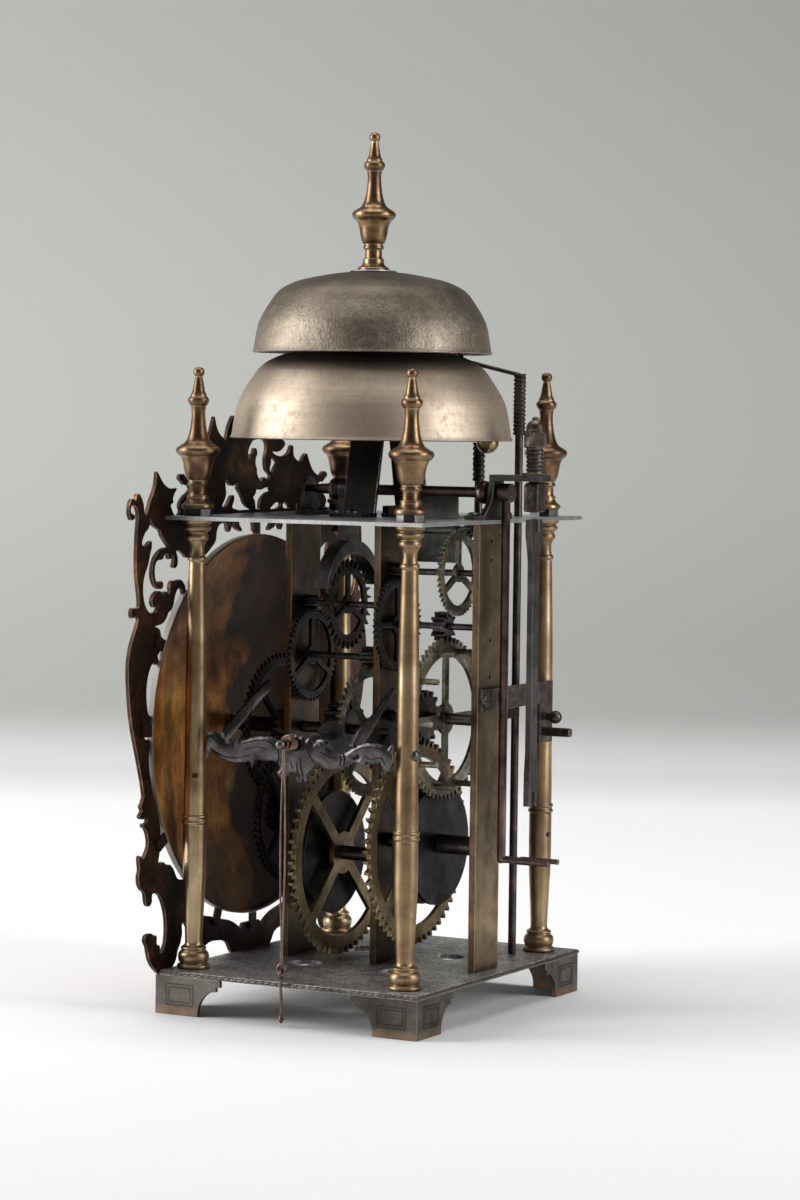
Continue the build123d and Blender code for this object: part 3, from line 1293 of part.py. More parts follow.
def screw_up(x, y, z, depth):
    """Domed screw with a slot, on an upright axis with its head at the top."""
    turned(x, y, z, [(screw_radius, -depth), (screw_radius, 0), (screw_head_radius, 0),
                     (screw_head_radius, 0.5), (screw_head_radius - 0.8, screw_head_height - 0.2),
                     (0.5, screw_head_height)])
    slab((x - screw_head_radius, x + screw_head_radius), (y - 0.3, y + 0.3),
         (z + screw_head_height - 0.7, z + screw_head_height), Mode.SUBTRACT)


def screw_back(x, z, seat, depth):
    """Round-headed screw along Y with its head at the back."""
    rod_y(x, z, seat - depth, seat, screw_radius)
    rod_y(x, z, seat, seat + screw_head_height, screw_head_radius)
    slab((x - screw_head_radius, x + screw_head_radius),
         (seat + screw_head_height - 0.6, seat + screw_head_height), (z - 0.3, z + 0.3), Mode.SUBTRACT)


with BuildPart() as frame_screws:
    for screw_x, screw_y in cock_screws:
        screw_up(screw_x, screw_y, top_z + cock_thickness, cock_thickness + top_thickness)
    for screw_x, screw_y in strap_screws:
        screw_up(screw_x, screw_y, top_z + strap_sheet, strap_sheet + top_thickness)
    for side in (1, -1):
        screw_back(side * lever_screw_x, bridge_z, back_bar_back + bridge_sheet,
                   bar_thickness + bridge_sheet)
    screw_back(lever_screw_x, lever_foot_z, middle_bar_back + cheek_sheet, bar_thickness + cheek_sheet)
frame_screws.part.label = "frame_screws"
export_step(frame_screws.part, "parts/frame_screws.step")
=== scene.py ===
import json
from math import cos, pi, radians, sin

import bpy
import numpy as np
from mathutils import Matrix, Vector
from mathutils.geometry import delaunay_2d_cdt


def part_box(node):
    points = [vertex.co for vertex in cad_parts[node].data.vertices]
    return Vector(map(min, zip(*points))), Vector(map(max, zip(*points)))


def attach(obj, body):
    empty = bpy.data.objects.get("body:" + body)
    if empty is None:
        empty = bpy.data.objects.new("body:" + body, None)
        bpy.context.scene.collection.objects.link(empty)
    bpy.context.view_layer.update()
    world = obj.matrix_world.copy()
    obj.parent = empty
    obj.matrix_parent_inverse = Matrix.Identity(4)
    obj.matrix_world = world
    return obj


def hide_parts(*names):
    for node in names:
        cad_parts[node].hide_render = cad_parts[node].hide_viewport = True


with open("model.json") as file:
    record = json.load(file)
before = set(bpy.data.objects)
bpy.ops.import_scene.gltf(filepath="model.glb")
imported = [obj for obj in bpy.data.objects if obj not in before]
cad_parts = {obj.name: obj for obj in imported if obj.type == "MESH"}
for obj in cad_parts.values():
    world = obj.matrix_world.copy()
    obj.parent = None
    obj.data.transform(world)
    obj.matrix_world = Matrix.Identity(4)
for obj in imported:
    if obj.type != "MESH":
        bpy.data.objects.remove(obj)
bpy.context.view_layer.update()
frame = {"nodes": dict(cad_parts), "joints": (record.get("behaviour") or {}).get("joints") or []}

mm = 0.001


# ---------------------------------------------------------------- studio
# A seamless sheet of pale paper, flat under the clock and curved up into a grey
# wall behind it; the wall's grey is painted shade, darker as it rises and towards
# the right. Two tall soft boxes stand left and right of the clock, a third
# hangs over it, and a fourth lights the wall.
camera_azimuth = radians(118.782)
camera_elevation = radians(3.134)
camera_roll = radians(0.713)
camera_distance = 1.469643
camera_target = np.array([-0.005356, 0.005750, 0.170234])
camera_lens = 104.79
film_side = 36.0

toward_camera = np.array([sin(camera_azimuth) * cos(camera_elevation),
                          -cos(camera_azimuth) * cos(camera_elevation), sin(camera_elevation)])
level_right = np.cross(-toward_camera, (0, 0, 1))
level_right /= np.linalg.norm(level_right)
level_up = np.cross(level_right, -toward_camera)
film_right = level_right * cos(camera_roll) + level_up * sin(camera_roll)
film_up = level_up * cos(camera_roll) - level_right * sin(camera_roll)

camera = bpy.data.objects.new("camera", bpy.data.cameras.new("camera"))
bpy.context.scene.collection.objects.link(camera)
camera.data.lens = camera_lens
camera.data.sensor_fit = "AUTO"
camera.data.sensor_width = film_side
camera_turn = Matrix(np.column_stack([film_right, film_up, toward_camera]).tolist()).to_4x4()
camera.matrix_world = Matrix.Translation(camera_target + camera_distance * toward_camera) @ camera_turn
bpy.context.scene.camera = camera
bpy.context.scene.view_settings.view_transform = "Standard"

ground_right = np.array([level_right[0], level_right[1], 0.0])
ground_away = np.array([-toward_camera[0], -toward_camera[1], 0.0])
ground_away /= np.linalg.norm(ground_away)


def grid_object(name, points, faces, sharp=30.0):
    """New object whose mesh has the given points and faces, smooth but for edges over the sharp angle."""
    mesh = bpy.data.meshes.new(name)
    mesh.from_pydata(points.reshape(-1, 3).tolist(), [], faces)
    mesh.polygons.foreach_set("use_smooth", np.ones(len(mesh.polygons), bool))
    mesh.set_sharp_from_angle(angle=radians(sharp))
    made = bpy.data.objects.new(name, mesh)
    bpy.context.scene.collection.objects.link(made)
    return made


def sheet_faces(rows, columns):
    """Quads of an open grid of rows by columns."""
    corner = (np.arange(rows - 1)[:, None] * columns + np.arange(columns - 1)[None, :]).ravel()
    return np.column_stack([corner, corner + 1, corner + columns + 1, corner + columns]).tolist()


def shader_node(tree, kind, sockets=(), **settings):
    """New shader node with its settings; a socket is given a value, or a link from another node."""
    made = tree.nodes.new("ShaderNode" + kind)
    for setting, value in settings.items():
        setattr(made, setting, value)
    for socket, value in dict(sockets).items():
        if isinstance(value, bpy.types.NodeSocket):
            tree.links.new(value, made.inputs[socket])
        else:
            made.inputs[socket].default_value = value
    return made


def mapped(tree, value, start, end, low=0.0, high=1.0):
    """Value moved from the range start to end into the range low to high, and held at its ends."""
    return shader_node(tree, "MapRange", {0: value, 1: start, 2: end, 3: low, 4: high}).outputs[0]


def noise(tree, spot, scale, detail=2.0, roughness=0.5, distortion=0.0):
    """Smooth noise at a place, in scale lumps to the metre."""
    return shader_node(tree, "TexNoise", {"Vector": spot, "Scale": scale, "Detail": detail,
                                          "Roughness": roughness, "Distortion": distortion}).outputs[0]


def object_spot(tree):
    """Place on the object itself, in metres."""
    return shader_node(tree, "TexCoord").outputs["Object"]


def part_of(tree, vector, axis):
    """One of a vector's three numbers."""
    return shader_node(tree, "SeparateXYZ", {0: vector}).outputs[axis]


def new_material(name):
    """New material with its node tree and its main shader."""
    material = bpy.data.materials.new(name)
    material.use_nodes = True
    return material, material.node_tree, material.node_tree.nodes["Principled BSDF"]


def ramp(tree, factor, stops, smooth=False):
    """Colour ramp: each stop is a place and a colour."""
    made = shader_node(tree, "ValToRGB", {0: factor})
    bar = made.color_ramp
    bar.interpolation = "EASE" if smooth else "LINEAR"
    while len(bar.elements) < len(stops):
        bar.elements.new(0.5)
    for element, (place, colour) in zip(bar.elements, stops):
        element.position = place
        element.color = (*colour, 1.0)
    return made.outputs[0]


def sum_of(tree, how, first, second, clamp=False):
    """One sum on two numbers, each a value or a link."""
    return shader_node(tree, "Math", {0: first, 1: second}, operation=how, use_clamp=clamp).outputs[0]


def paper_sweep():
    """Floor, quarter circle and wall as one curve carried sideways: (s across, curve(t) away and up)."""
    near_end = -2.6
    bend_start = 0.62
    bend_radius = 0.55
    wall_top = 3.0
    half_width = 3.0
    angle = np.linspace(0, pi / 2, 24)
    away = np.concatenate([[near_end], bend_start + bend_radius * np.sin(angle), [bend_start + bend_radius]])
    height = np.concatenate([[0.0], bend_radius * (1 - np.cos(angle)), [wall_top]])
    across = np.linspace(-half_width, half_width, 9)
    points = (across[None, :, None] * ground_right + away[:, None, None] * ground_away
              + height[:, None, None] * np.array([0, 0, 1.0]))
    return grid_object("paper_sweep", points, sheet_faces(len(away), len(across)), 60.0)


paper, tree, shader = new_material("pale_paper")
spot = object_spot(tree)
# Painted shade: the paper's colour darkens as the sheet rises into the wall, and on the wall towards the
# right.
lift = mapped(tree, part_of(tree, spot, "Z"), 0.0, 1.5)
shade = ramp(tree, lift, [(0.0, (0.80, 0.80, 0.80)), (0.012, (0.57, 0.575, 0.56)),
                          (0.035, (0.345, 0.35, 0.333)), (0.14, (0.37, 0.375, 0.352)),
                          (0.45, (0.30, 0.305, 0.286)), (0.62, (0.09, 0.09, 0.09)),
                          (1.0, (0.03, 0.03, 0.03))], True)
side = shader_node(tree, "VectorMath", {0: spot, 1: ground_right.tolist()}, operation="DOT_PRODUCT")
dim = mapped(tree, side.outputs["Value"], -0.35, 0.35, 1.0, 0.84)
flat = ramp(tree, lift, [(0.0, (0.0, 0.0, 0.0)), (0.06, (1.0, 1.0, 1.0))])
tone = shader_node(tree, "Mix", {0: flat, 2: 1.0, 3: dim}).outputs[0]
paper_with_painted_shade = shader_node(tree, "VectorMath", {0: shade, "Scale": tone}, operation="SCALE").outputs[0]
tree.links.new(paper_with_painted_shade, shader.inputs["Base Color"])
shader.inputs["Roughness"].default_value = 0.85
shader.inputs["Specular IOR Level"].default_value = 0.2
clear = shader_node(tree, "BsdfTransparent")
seen = shader_node(tree, "LightPath").outputs["Is Camera Ray"]
behind = sum_of(tree, "MULTIPLY", shader_node(tree, "NewGeometry").outputs["Backfacing"], seen)
open_back = shader_node(tree, "MixShader", {0: behind, 1: shader.outputs[0], 2: clear.outputs[0]})
tree.links.new(open_back.outputs[0], tree.nodes["Material Output"].inputs["Surface"])
sweep = paper_sweep()
sweep.data.materials.append(paper)

world = bpy.data.worlds.new("studio_air")
world.use_nodes = True
world.node_tree.nodes["Background"].inputs[0].default_value = (0.40, 0.41, 0.42, 1.0)
world.node_tree.nodes["Background"].inputs[1].default_value = 0.20
bpy.context.scene.world = world


def soft_box(name, across, away, height, wide, tall, watts, aim):
    """Soft box at a place across, away from the camera and up, turned to face another such place."""
    lamp = bpy.data.objects.new(name, bpy.data.lights.new(name, "AREA"))
    bpy.context.scene.collection.objects.link(lamp)
    lamp.data.shape = "RECTANGLE"
    lamp.data.size = wide
    lamp.data.size_y = tall
    lamp.data.energy = watts
    spot = across * ground_right + away * ground_away + np.array([0, 0, height])
    faced = aim[0] * ground_right + aim[1] * ground_away + np.array([0, 0, aim[2]])
    turned = Vector(faced - spot).to_track_quat("-Z", "Y").to_matrix().to_4x4()
    lamp.matrix_world = Matrix.Translation(spot) @ turned


soft_box("left_soft_box", across=-1.50, away=-0.10, height=0.62, wide=0.70, tall=1.30, watts=27.0,
         aim=(0.0, 0.0, 0.15))
soft_box("right_soft_box", across=1.37, away=-0.61, height=0.66, wide=0.50, tall=1.20, watts=17.0,
         aim=(0.0, 0.0, 0.15))
soft_box("top_soft_box", across=-0.1, away=-0.05, height=1.90, wide=1.2, tall=1.2, watts=11.0,
         aim=(0.0, 0.0, 0.0))
soft_box("wall_soft_box", across=-0.35, away=0.35, height=1.60, wide=2.2, tall=0.4, watts=16.0,
         aim=(-0.2, 1.17, 0.35))


# ---------------------------------------------------------------- bottom plate
# Sheet of dark brass with a grey, grainy patina. It carries the four pillars
# and the three movement bars, and its edge is cut all round with a slanting
# wriggle that looks like a fine rope.
def mixed(tree, factor, first, second, how="MIX"):
    """Mix of two colours, each a value or a link."""
    made = shader_node(tree, "Mix", data_type="RGBA", blend_type=how)
    for socket, value in ((0, factor), (6, first), (7, second)):
        if isinstance(value, bpy.types.NodeSocket):
            tree.links.new(value, made.inputs[socket])
        else:
            made.inputs[socket].default_value = value if socket == 0 else (*value, 1.0)
    return made.outputs[2]


def aged_metal(name, tones, worn, patch=70.0, grain=1500.0, lines=None, rough=(0.30, 0.50), relief=0.10,
               edge=0.35 * mm, corner_dark=(0.025, 0.020, 0.016), corner_reach=5 * mm, speck=0.35, bloom=None,
               pits=(0.30, 0.42), painted_shade_share=0.0):
    """Aged metal: broad stains pick the tone and a fine grain breaks it up, with patch and grain lumps to
    the metre. Edges are rubbed to the worn colour, corners that ambient occlusion finds shut in are darkened
    to a corner colour, and a bloom of dust may lie in patches, its last number saying how much. lines
    stretches a noise into tool marks, pits is where the grain turns dark, and the last argument is how
    much painted shade darkens places shut in by the pieces around them."""
    painted_shade_reach = 50 * mm
    relief_height = 0.25 * mm
    material, tree, shader = new_material(name)
    spot = object_spot(tree)
    stain = noise(tree, spot, patch, 6.0, 0.62, 0.4)
    fine = noise(tree, spot, grain, 3.0, 0.7)
    marks = fine
    if lines:
        drawn = shader_node(tree, "Mapping", {"Vector": spot, "Scale": lines}).outputs[0]
        marks = noise(tree, drawn, 1.0, 4.0, 0.6)
    colour = ramp(tree, mapped(tree, stain, 0.30, 0.70), tones)
    streak = ramp(tree, marks, [(0.30, (0.55, 0.55, 0.55)), (0.62, (1.0, 1.0, 1.0))])
    colour = mixed(tree, speck, colour, streak, "MULTIPLY")
    pitted = ramp(tree, fine, [(pits[0], (0.25, 0.22, 0.20)), (pits[1], (1.0, 1.0, 1.0))])
    colour = mixed(tree, speck, colour, pitted, "MULTIPLY")
    rounded = shader_node(tree, "Bevel", {"Radius": edge}, samples=4).outputs[0]
    true_way = shader_node(tree, "NewGeometry").outputs["Normal"]
    along = shader_node(tree, "VectorMath", {0: rounded, 1: true_way}, operation="DOT_PRODUCT")
    off_edge = sum_of(tree, "SUBTRACT", 1.0, along.outputs["Value"], True)
    rub = sum_of(tree, "MULTIPLY", mapped(tree, off_edge, 0.01, 0.16), mapped(tree, stain, 0.30, 0.60, 0.35))
    colour = mixed(tree, rub, colour, worn)
    # Corners that ambient occlusion finds shut in are darkened towards the corner colour.
    sky = shader_node(tree, "AmbientOcclusion", {"Distance": corner_reach}, samples=4).outputs["AO"]
    shut = mapped(tree, sky, 0.62, 0.15, 0.0, 0.8)
    colour = mixed(tree, shut, colour, corner_dark)
    # Painted shade: places that ambient occlusion finds shut in by nearby pieces are darkened towards near
    # black.
    if painted_shade_share:
        room = shader_node(tree, "AmbientOcclusion", {"Distance": painted_shade_reach}, samples=4).outputs["AO"]
        colour = mixed(tree, mapped(tree, room, 0.85, 0.35, 0.0, painted_shade_share), colour, (0.010, 0.008, 0.007))
    rough_now = mapped(tree, stain, 0.30, 0.70, rough[1], rough[0])
    rough_now = sum_of(tree, "ADD", rough_now, sum_of(tree, "MULTIPLY", shut, 0.3), True)
    if bloom:
        dusty = mapped(tree, noise(tree, spot, 260.0, 5.0, 0.75), 0.50, 0.72, 0.0, bloom[3])
        colour = mixed(tree, dusty, colour, bloom[:3])
        rough_now = sum_of(tree, "ADD", rough_now, sum_of(tree, "MULTIPLY", dusty, 0.4), True)
    height = sum_of(tree, "ADD", sum_of(tree, "MULTIPLY", marks, 0.6), sum_of(tree, "MULTIPLY", fine, 0.4))
    bump = shader_node(tree, "Bump", {"Strength": relief, "Distance": relief_height, "Height": height,
                                      "Normal": rounded})
    tree.links.new(colour, shader.inputs["Base Color"])
    tree.links.new(rough_now, shader.inputs["Roughness"])
    tree.links.new(bump.outputs[0], shader.inputs["Normal"])
    shader.inputs["Metallic"].default_value = 1.0
    return material


def overlaid(material, factor, colour):
    """Lays another colour over a finish, by a factor."""
    tree = material.node_tree
    base = tree.nodes["Principled BSDF"].inputs["Base Color"]
    tree.links.new(mixed(tree, factor, base.links[0].from_socket, colour), base)


def dress(material, *nodes):
    """Gives CAD nodes their finish, and shades their round faces smooth up to a crease of 30 degrees."""
    for node in nodes:
        shown = frame["nodes"][node]
        shown.data.materials.clear()
        shown.data.materials.append(material)
        shown.data.polygons.foreach_set("use_smooth", np.ones(len(shown.data.polygons), bool))
        weld = shown.modifiers.new("weld", "WELD")
        weld.merge_threshold = 0.002 * mm
        crease = shown.modifiers.new("crease", "EDGE_SPLIT")
        crease.split_angle = radians(30)
        crease.use_edge_sharp = False


plate_patina = aged_metal(
    "plate_patina", [(0.0, (0.075, 0.068, 0.060)), (0.22, (0.24, 0.23, 0.215)),
                     (0.55, (0.46, 0.45, 0.43)), (1.0, (0.62, 0.61, 0.59))],
    worn=(0.55, 0.49, 0.41), patch=30.0, grain=800.0, rough=(0.34, 0.50), relief=1.0, speck=1.0,
    bloom=(0.75, 0.74, 0.72, 0.50), pits=(0.38, 0.62))
plate_patina.node_tree.nodes["Principled BSDF"].inputs["Metallic"].default_value = 0.55
dress(plate_patina, "bottom_plate")


def full_turn(count):
    """Evenly spaced angles once round."""
    return np.linspace(0, 2 * pi, count, endpoint=False)


def ring_faces(rows, columns, looped=False):
    """Quads of a grid whose columns wrap. Rows wrap too if looped, and if not, each end has a cap."""
    row = np.arange(rows if looped else rows - 1)[:, None]
    column = np.arange(columns)[None, :]
    after = (column + 1) % columns
    following = (row + 1) % rows
    quads = np.stack([row * columns + column, row * columns + after,
                      following * columns + after, following * columns + column], -1)
    faces = quads.reshape(-1, 4).tolist()
    if not looped:
        faces.append(list(range(columns))[::-1])
        faces.append(list(range((rows - 1) * columns, rows * columns)))
    return faces


def joined(shapes):
    """Several shapes, each points and faces, as one."""
    points = []
    faces = []
    count = 0
    for shape_points, shape_faces in shapes:
        flat = shape_points.reshape(-1, 3)
        points.append(flat)
        faces += [[corner + count for corner in face] for face in shape_faces]
        count += len(flat)
    return np.concatenate(points), faces


def piece(name, shapes, material, body, hides=(), sharp=30.0):
    """New piece made of shapes, in its finish, on its body, and standing for the CAD nodes it hides."""
    points, faces = joined(shapes)
    made = grid_object(name, points, faces, sharp)
    made.data.materials.append(material)
    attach(made, body)
    if hides:
        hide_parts(*hides)
    return made


def tube(path, radius, side, columns=14, looped=False):
    """Round tube: path(u) + radius (cos v a + sin v b), where a is square to the path and to side, and b
    to the path and a."""
    step = np.roll(path, -1, 0) - np.roll(path, 1, 0) if looped else np.gradient(path, axis=0)
    way = step / np.linalg.norm(step, axis=1, keepdims=True)
    first = np.cross(np.asarray(side, float), way)
    first /= np.linalg.norm(first, axis=1, keepdims=True)
    second = np.cross(way, first)
    turn = full_turn(columns)
    reach = np.broadcast_to(np.asarray(radius, float).reshape(-1, 1), (len(path), 1))
    points = (path[:, None, :] + reach[:, :, None] * (np.cos(turn)[None, :, None] * first[:, None, :]
                                                     + np.sin(turn)[None, :, None] * second[:, None, :]))
    return points, ring_faces(len(path), columns, looped)


plate_low, plate_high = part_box("bottom_plate")
rope_radius = 0.85 * mm
rope_pitch = 3.2 * mm
rope_columns = 10


def rope_side(start, end):
    """Rope moulding along one edge: a tube whose radius is r (0.8 + 0.2 sin(2 v + 2 pi u / pitch))."""
    length = float(np.linalg.norm(end - start))
    rows = int(length / rope_pitch * 8)
    along = np.linspace(0, 1, rows)
    path = start + along[:, None] * (end - start)
    points, faces = tube(path, rope_radius, (0, 0, 1), rope_columns)
    turn = full_turn(rope_columns)
    swell = 0.80 + 0.20 * np.sin(2 * turn[None, :] + 2 * pi * along[:, None] * length / rope_pitch)
    return path[:, None, :] + (points - path[:, None, :]) * swell[:, :, None], faces


def rope_border(low, high):
    """Rope along the four edges of a plate, at half its thickness."""
    middle = (low[2] + high[2]) / 2
    corners = [np.array([x, y, middle]) for x, y in ((low[0], low[1]), (high[0], low[1]),
                                                     (high[0], high[1]), (low[0], high[1]))]
    return [rope_side(corners[side], corners[(side + 1) % 4]) for side in range(4)]


rope_patina = aged_metal(
    "rope_patina", [(0.0, (0.055, 0.048, 0.040)), (1.0, (0.20, 0.185, 0.165))],
    worn=(0.36, 0.33, 0.29), patch=60.0, rough=(0.38, 0.55), relief=0.3, speck=0.7)
piece("bottom_plate_rope", rope_border(plate_low, plate_high), rope_patina, "frame")


# ---------------------------------------------------------------- bracket feet
# Bent sheet brass, riveted under the plate's corners. Each outer face has two
# frames of slanting graver's pecks, one in the other, and the sheet is rubbed
# to a coppery colour along the floor.
def foot_finish():
    """Dark grey brown patina, rubbed to a coppery colour at its lower edge."""
    material = aged_metal(
        "foot_patina", [(0.0, (0.050, 0.043, 0.036)), (0.5, (0.13, 0.115, 0.10)),
                        (1.0, (0.22, 0.20, 0.18))],
        worn=(0.42, 0.38, 0.33), patch=40.0, rough=(0.36, 0.55), relief=0.4, edge=0.6 * mm, speck=0.6)
    tree = material.node_tree
    spot = object_spot(tree)
    low_edge = mapped(tree, part_of(tree, spot, "Z"), 0.3 * mm, 4.5 * mm, 0.75, 0.0)
    cloud = noise(tree, spot, 160.0, 4.0)
    rubbed = sum_of(tree, "MULTIPLY", low_edge, sum_of(tree, "MULTIPLY", cloud, 1.6), True)
    overlaid(material, rubbed, (0.34, 0.22, 0.13))
    return material


foot_patina = foot_finish()
dress(foot_patina, "bracket_feet")
feet_low, feet_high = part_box("bracket_feet")
frame_inset = 5.2 * mm
frame_width = 13.0 * mm
frame_low = 4.2 * mm
frame_tall = 8.6 * mm
inner_inset = 1.3 * mm
peck_length = 0.60 * mm
peck_radius = 0.21 * mm
peck_step = 0.95 * mm
peck_lift = 0.02 * mm


def pecked_frame(corner, way, outward, inset=0.0):
    """Frame on a foot: slanting pecks round a rectangle that is inset from the foot's own frame."""
    way = np.asarray(way, float)
    outward = np.asarray(outward, float)
    up = np.array([0, 0, 1.0])
    start = corner + (frame_inset + inset) * way + (frame_low + inset) * up
    wide = (frame_width - 2 * inset) * way
    tall = (frame_tall - 2 * inset) * up
    runs = [(start, wide), (start + wide, tall), (start + wide + tall, -wide), (start + tall, -tall)]
    shapes = []
    for run_start, run in runs:
        count = int(np.linalg.norm(run) / peck_step)
        for share in (np.arange(count) + 0.5) / count:
            middle = run_start + share * run
            slant = (way + up) / np.sqrt(2) * peck_length
            path = np.array([middle - slant, middle, middle + slant]) + peck_lift * outward
            shapes.append(tube(path, np.array([0.3, 1.0, 0.3]) * peck_radius, outward, 6))
    return shapes


pecks = []
for side, end in ((1, 1), (1, -1), (-1, 1), (-1, -1)):
    foot_x = feet_high[0] if side > 0 else feet_low[0]
    foot_y = feet_high[1] if end > 0 else feet_low[1]
    foot_corner = np.array([foot_x, foot_y, 0.0])
    for inset in (0.0, inner_inset):
        pecks += pecked_frame(foot_corner, (-side, 0, 0), (0, end, 0), inset)
        pecks += pecked_frame(foot_corner, (0, -end, 0), (side, 0, 0), inset)
engraved_dark = aged_metal(
    "engraved_dark", [(0.0, (0.03, 0.028, 0.026)), (1.0, (0.08, 0.075, 0.07))],
    worn=(0.12, 0.11, 0.10), rough=(0.5, 0.7))
piece("foot_engraving", pecks, engraved_dark, "frame")


# ---------------------------------------------------------------- pillars
# Four pillars turned from cast brass, each in one piece with a shank through
# the plates. The old polish is golden where hands reach and brown elsewhere,
# and small peg holes are left from fittings that are gone, drawn as near-black
# plugs whose colour is painted shade.
def smooth_run(points, steps):
    """Catmull-Rom curve through the points, its first and last spans ending on them."""
    points = np.asarray(points, float)
    ends = np.vstack([2 * points[0] - points[1], points, 2 * points[-1] - points[-2]])
    share = np.linspace(0, 1, steps, endpoint=False)[None, :, None]
    before, start, end, after = (ends[:-3, None], ends[1:-2, None], ends[2:-1, None], ends[3:, None])
    curve = 0.5 * (2 * start + (end - before) * share
                   + (2 * before - 5 * start + 4 * end - after) * share**2
                   + (3 * start - before - 3 * end + after) * share**3)
    return np.vstack([curve.reshape(-1, points.shape[1]), points[-1:]])


def moulding(*runs, steps=6):
    """Profile of a turned piece, from a first point: a run of one point is straight and a longer run is
    a curve, and each starts where the last one ended."""
    rows = np.asarray(runs[0], float)
    for run in runs[1:]:
        reached = np.vstack([rows[-1:], run])
        rows = np.vstack([rows, reached[1:] if len(run) == 1 else smooth_run(reached, steps)[1:]])
    return rows


def lathe(profile, centre, columns=64, axis="z", looped=False):
    """Turned surface: the profile's radius r and height h swept round an axis w, as
    centre + r (cos v u + sin v t) + h w, with u, t and w square to each other."""
    along = {"x": (1, 2, 0), "y": (2, 0, 1), "z": (0, 1, 2)}[axis]
    turn = full_turn(columns)
    points = np.empty((len(profile), columns, 3))
    points[:, :, along[0]] = profile[:, :1] * np.cos(turn)
    points[:, :, along[1]] = profile[:, :1] * np.sin(turn)
    points[:, :, along[2]] = profile[:, 1:]
    return points + np.asarray(centre, float), ring_faces(len(profile), columns, looped)


pillar_low, pillar_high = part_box("pillars")
base_z = plate_high[2]
under_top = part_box("top_plate")[0][2]
pillar_foot_radius = 6.8 * mm
pillar_x = pillar_high[0] - pillar_foot_radius
pillar_ys = (pillar_low[1] + pillar_foot_radius, pillar_high[1] - pillar_foot_radius)
pillar_spots = [(x, y) for x in (pillar_x, -pillar_x) for y in pillar_ys]
shank = 2.4
tall = (under_top - base_z) / mm
ring = tall / 3
pillar_profile = mm * moulding(
    [(shank, -2.0)], [(shank, 0)], [(6.5, 0)], [(6.8, 0.5), (6.8, 1.3), (6.4, 1.8)], [(5.5, 2.1)],
    [(6.1, 3.0), (6.45, 4.6), (6.2, 6.2), (5.2, 7.4)], [(4.9, 7.7)], [(5.3, 8.2), (5.25, 8.8), (4.4, 9.3)],
    [(3.7, 10.2), (3.65, 13), (4.2, 26), (4.75, 40), (4.8, ring - 3.2)], [(4.7, ring - 2.0)],
    [(5.25, ring - 1.7), (5.35, ring - 0.9), (4.9, ring - 0.3)], [(4.9, ring + 0.3)],
    [(5.35, ring + 0.9), (5.25, ring + 1.7), (4.65, ring + 2.0)], [(4.65, ring + 3)],
    [(4.65, ring + 10), (4.45, ring + 27), (4.25, tall - 58), (3.65, tall - 28), (3.4, tall - 17.4)],
    [(3.8, tall - 17.0), (4.0, tall - 16.2), (3.85, tall - 15.5), (3.3, tall - 15.0)],
    [(2.95, tall - 13), (3.1, tall - 10.5), (3.9, tall - 8.6)], [(4.4, tall - 8.2)],
    [(4.6, tall - 7.4), (4.5, tall - 6.4), (4.0, tall - 5.9)], [(4.1, tall - 5.4), (5.2, tall - 4.4)],
    [(5.6, tall - 3.7), (5.4, tall - 2.9), (4.8, tall - 2.5)], [(4.8, tall - 2.1)],
    [(5.8, tall - 1.5), (6.0, tall - 0.9)], [(6.0, tall)], [(shank, tall)], [(shank, tall + 1.5)])
pillar_brass = aged_metal(
    "pillar_brass", [(0.0, (0.13, 0.080, 0.045)), (0.35, (0.27, 0.180, 0.100)),
                     (0.65, (0.40, 0.285, 0.160)), (1.0, (0.55, 0.43, 0.27))],
    worn=(0.70, 0.60, 0.40), patch=26.0, grain=1700.0, lines=(700.0, 700.0, 45.0), rough=(0.32, 0.48),
    relief=0.14, edge=0.55 * mm, corner_dark=(0.030, 0.016, 0.009), speck=0.45)
piece("turned_pillars", [lathe(pillar_profile, (x, y, base_z), 72) for x, y in pillar_spots],
      pillar_brass, "frame", ("pillars",))
# Painted shade: near-black plugs stand for the shaded insides of the peg holes.
painted_hole_shade, tree, shader = new_material("peg_hole_dark")
peg_cloud = noise(tree, object_spot(tree), 900.0)
peg_tones = ramp(tree, peg_cloud, [(0.3, (0.004, 0.003, 0.003)), (0.7, (0.020, 0.014, 0.010))])
tree.links.new(peg_tones, shader.inputs["Base Color"])
shader.inputs["Roughness"].default_value = 0.8
peg_rows = mm * np.array([(0.05, 0.30), (1.0, 0.28), (1.25, 0.0), (1.25, -1.2), (0.05, -1.2)])


def pillar_peg(x, y, height, radius, azimuth, rows):
    """Small turned shape on a pillar's side: its axis points out of the pillar at an angle round z."""
    points, faces = lathe(rows, (0, 0, 0), 20)
    out = np.array([cos(azimuth), sin(azimuth), 0.0])
    beside = np.array([-sin(azimuth), cos(azimuth), 0.0])
    up = np.array([0, 0, 1.0])
    return (np.array([x, y, height * mm]) + points[..., :1] * beside + points[..., 1:2] * up
            + (radius * mm + points[..., 2:]) * out), faces


peg_places = [(pillar_x, pillar_ys[0], 98.5, 4.45, 0.55), (-pillar_x, pillar_ys[1], 78.7, 4.65, 1.25),
              (-pillar_x, pillar_ys[1], 68.8, 4.70, 1.25)]
piece("pillar_peg_holes", [pillar_peg(*place, peg_rows) for place in peg_places], painted_hole_shade, "frame")


# ---------------------------------------------------------------- movement bars
# Three flat upright bars of cast brass, filed flat, that stand in slots in the
# two plates and carry both trains of wheels between them.
bar_brass = aged_metal(
    "bar_brass", [(0.0, (0.10, 0.062, 0.036)), (0.5, (0.23, 0.155, 0.088)), (1.0, (0.39, 0.285, 0.165))],
    worn=(0.70, 0.55, 0.34), patch=45.0, lines=(900.0, 900.0, 40.0), rough=(0.34, 0.50), relief=0.18,
    edge=0.6 * mm, speck=0.55, painted_shade_share=0.8)
dress(bar_brass, "front_bar", "middle_bar", "back_bar")


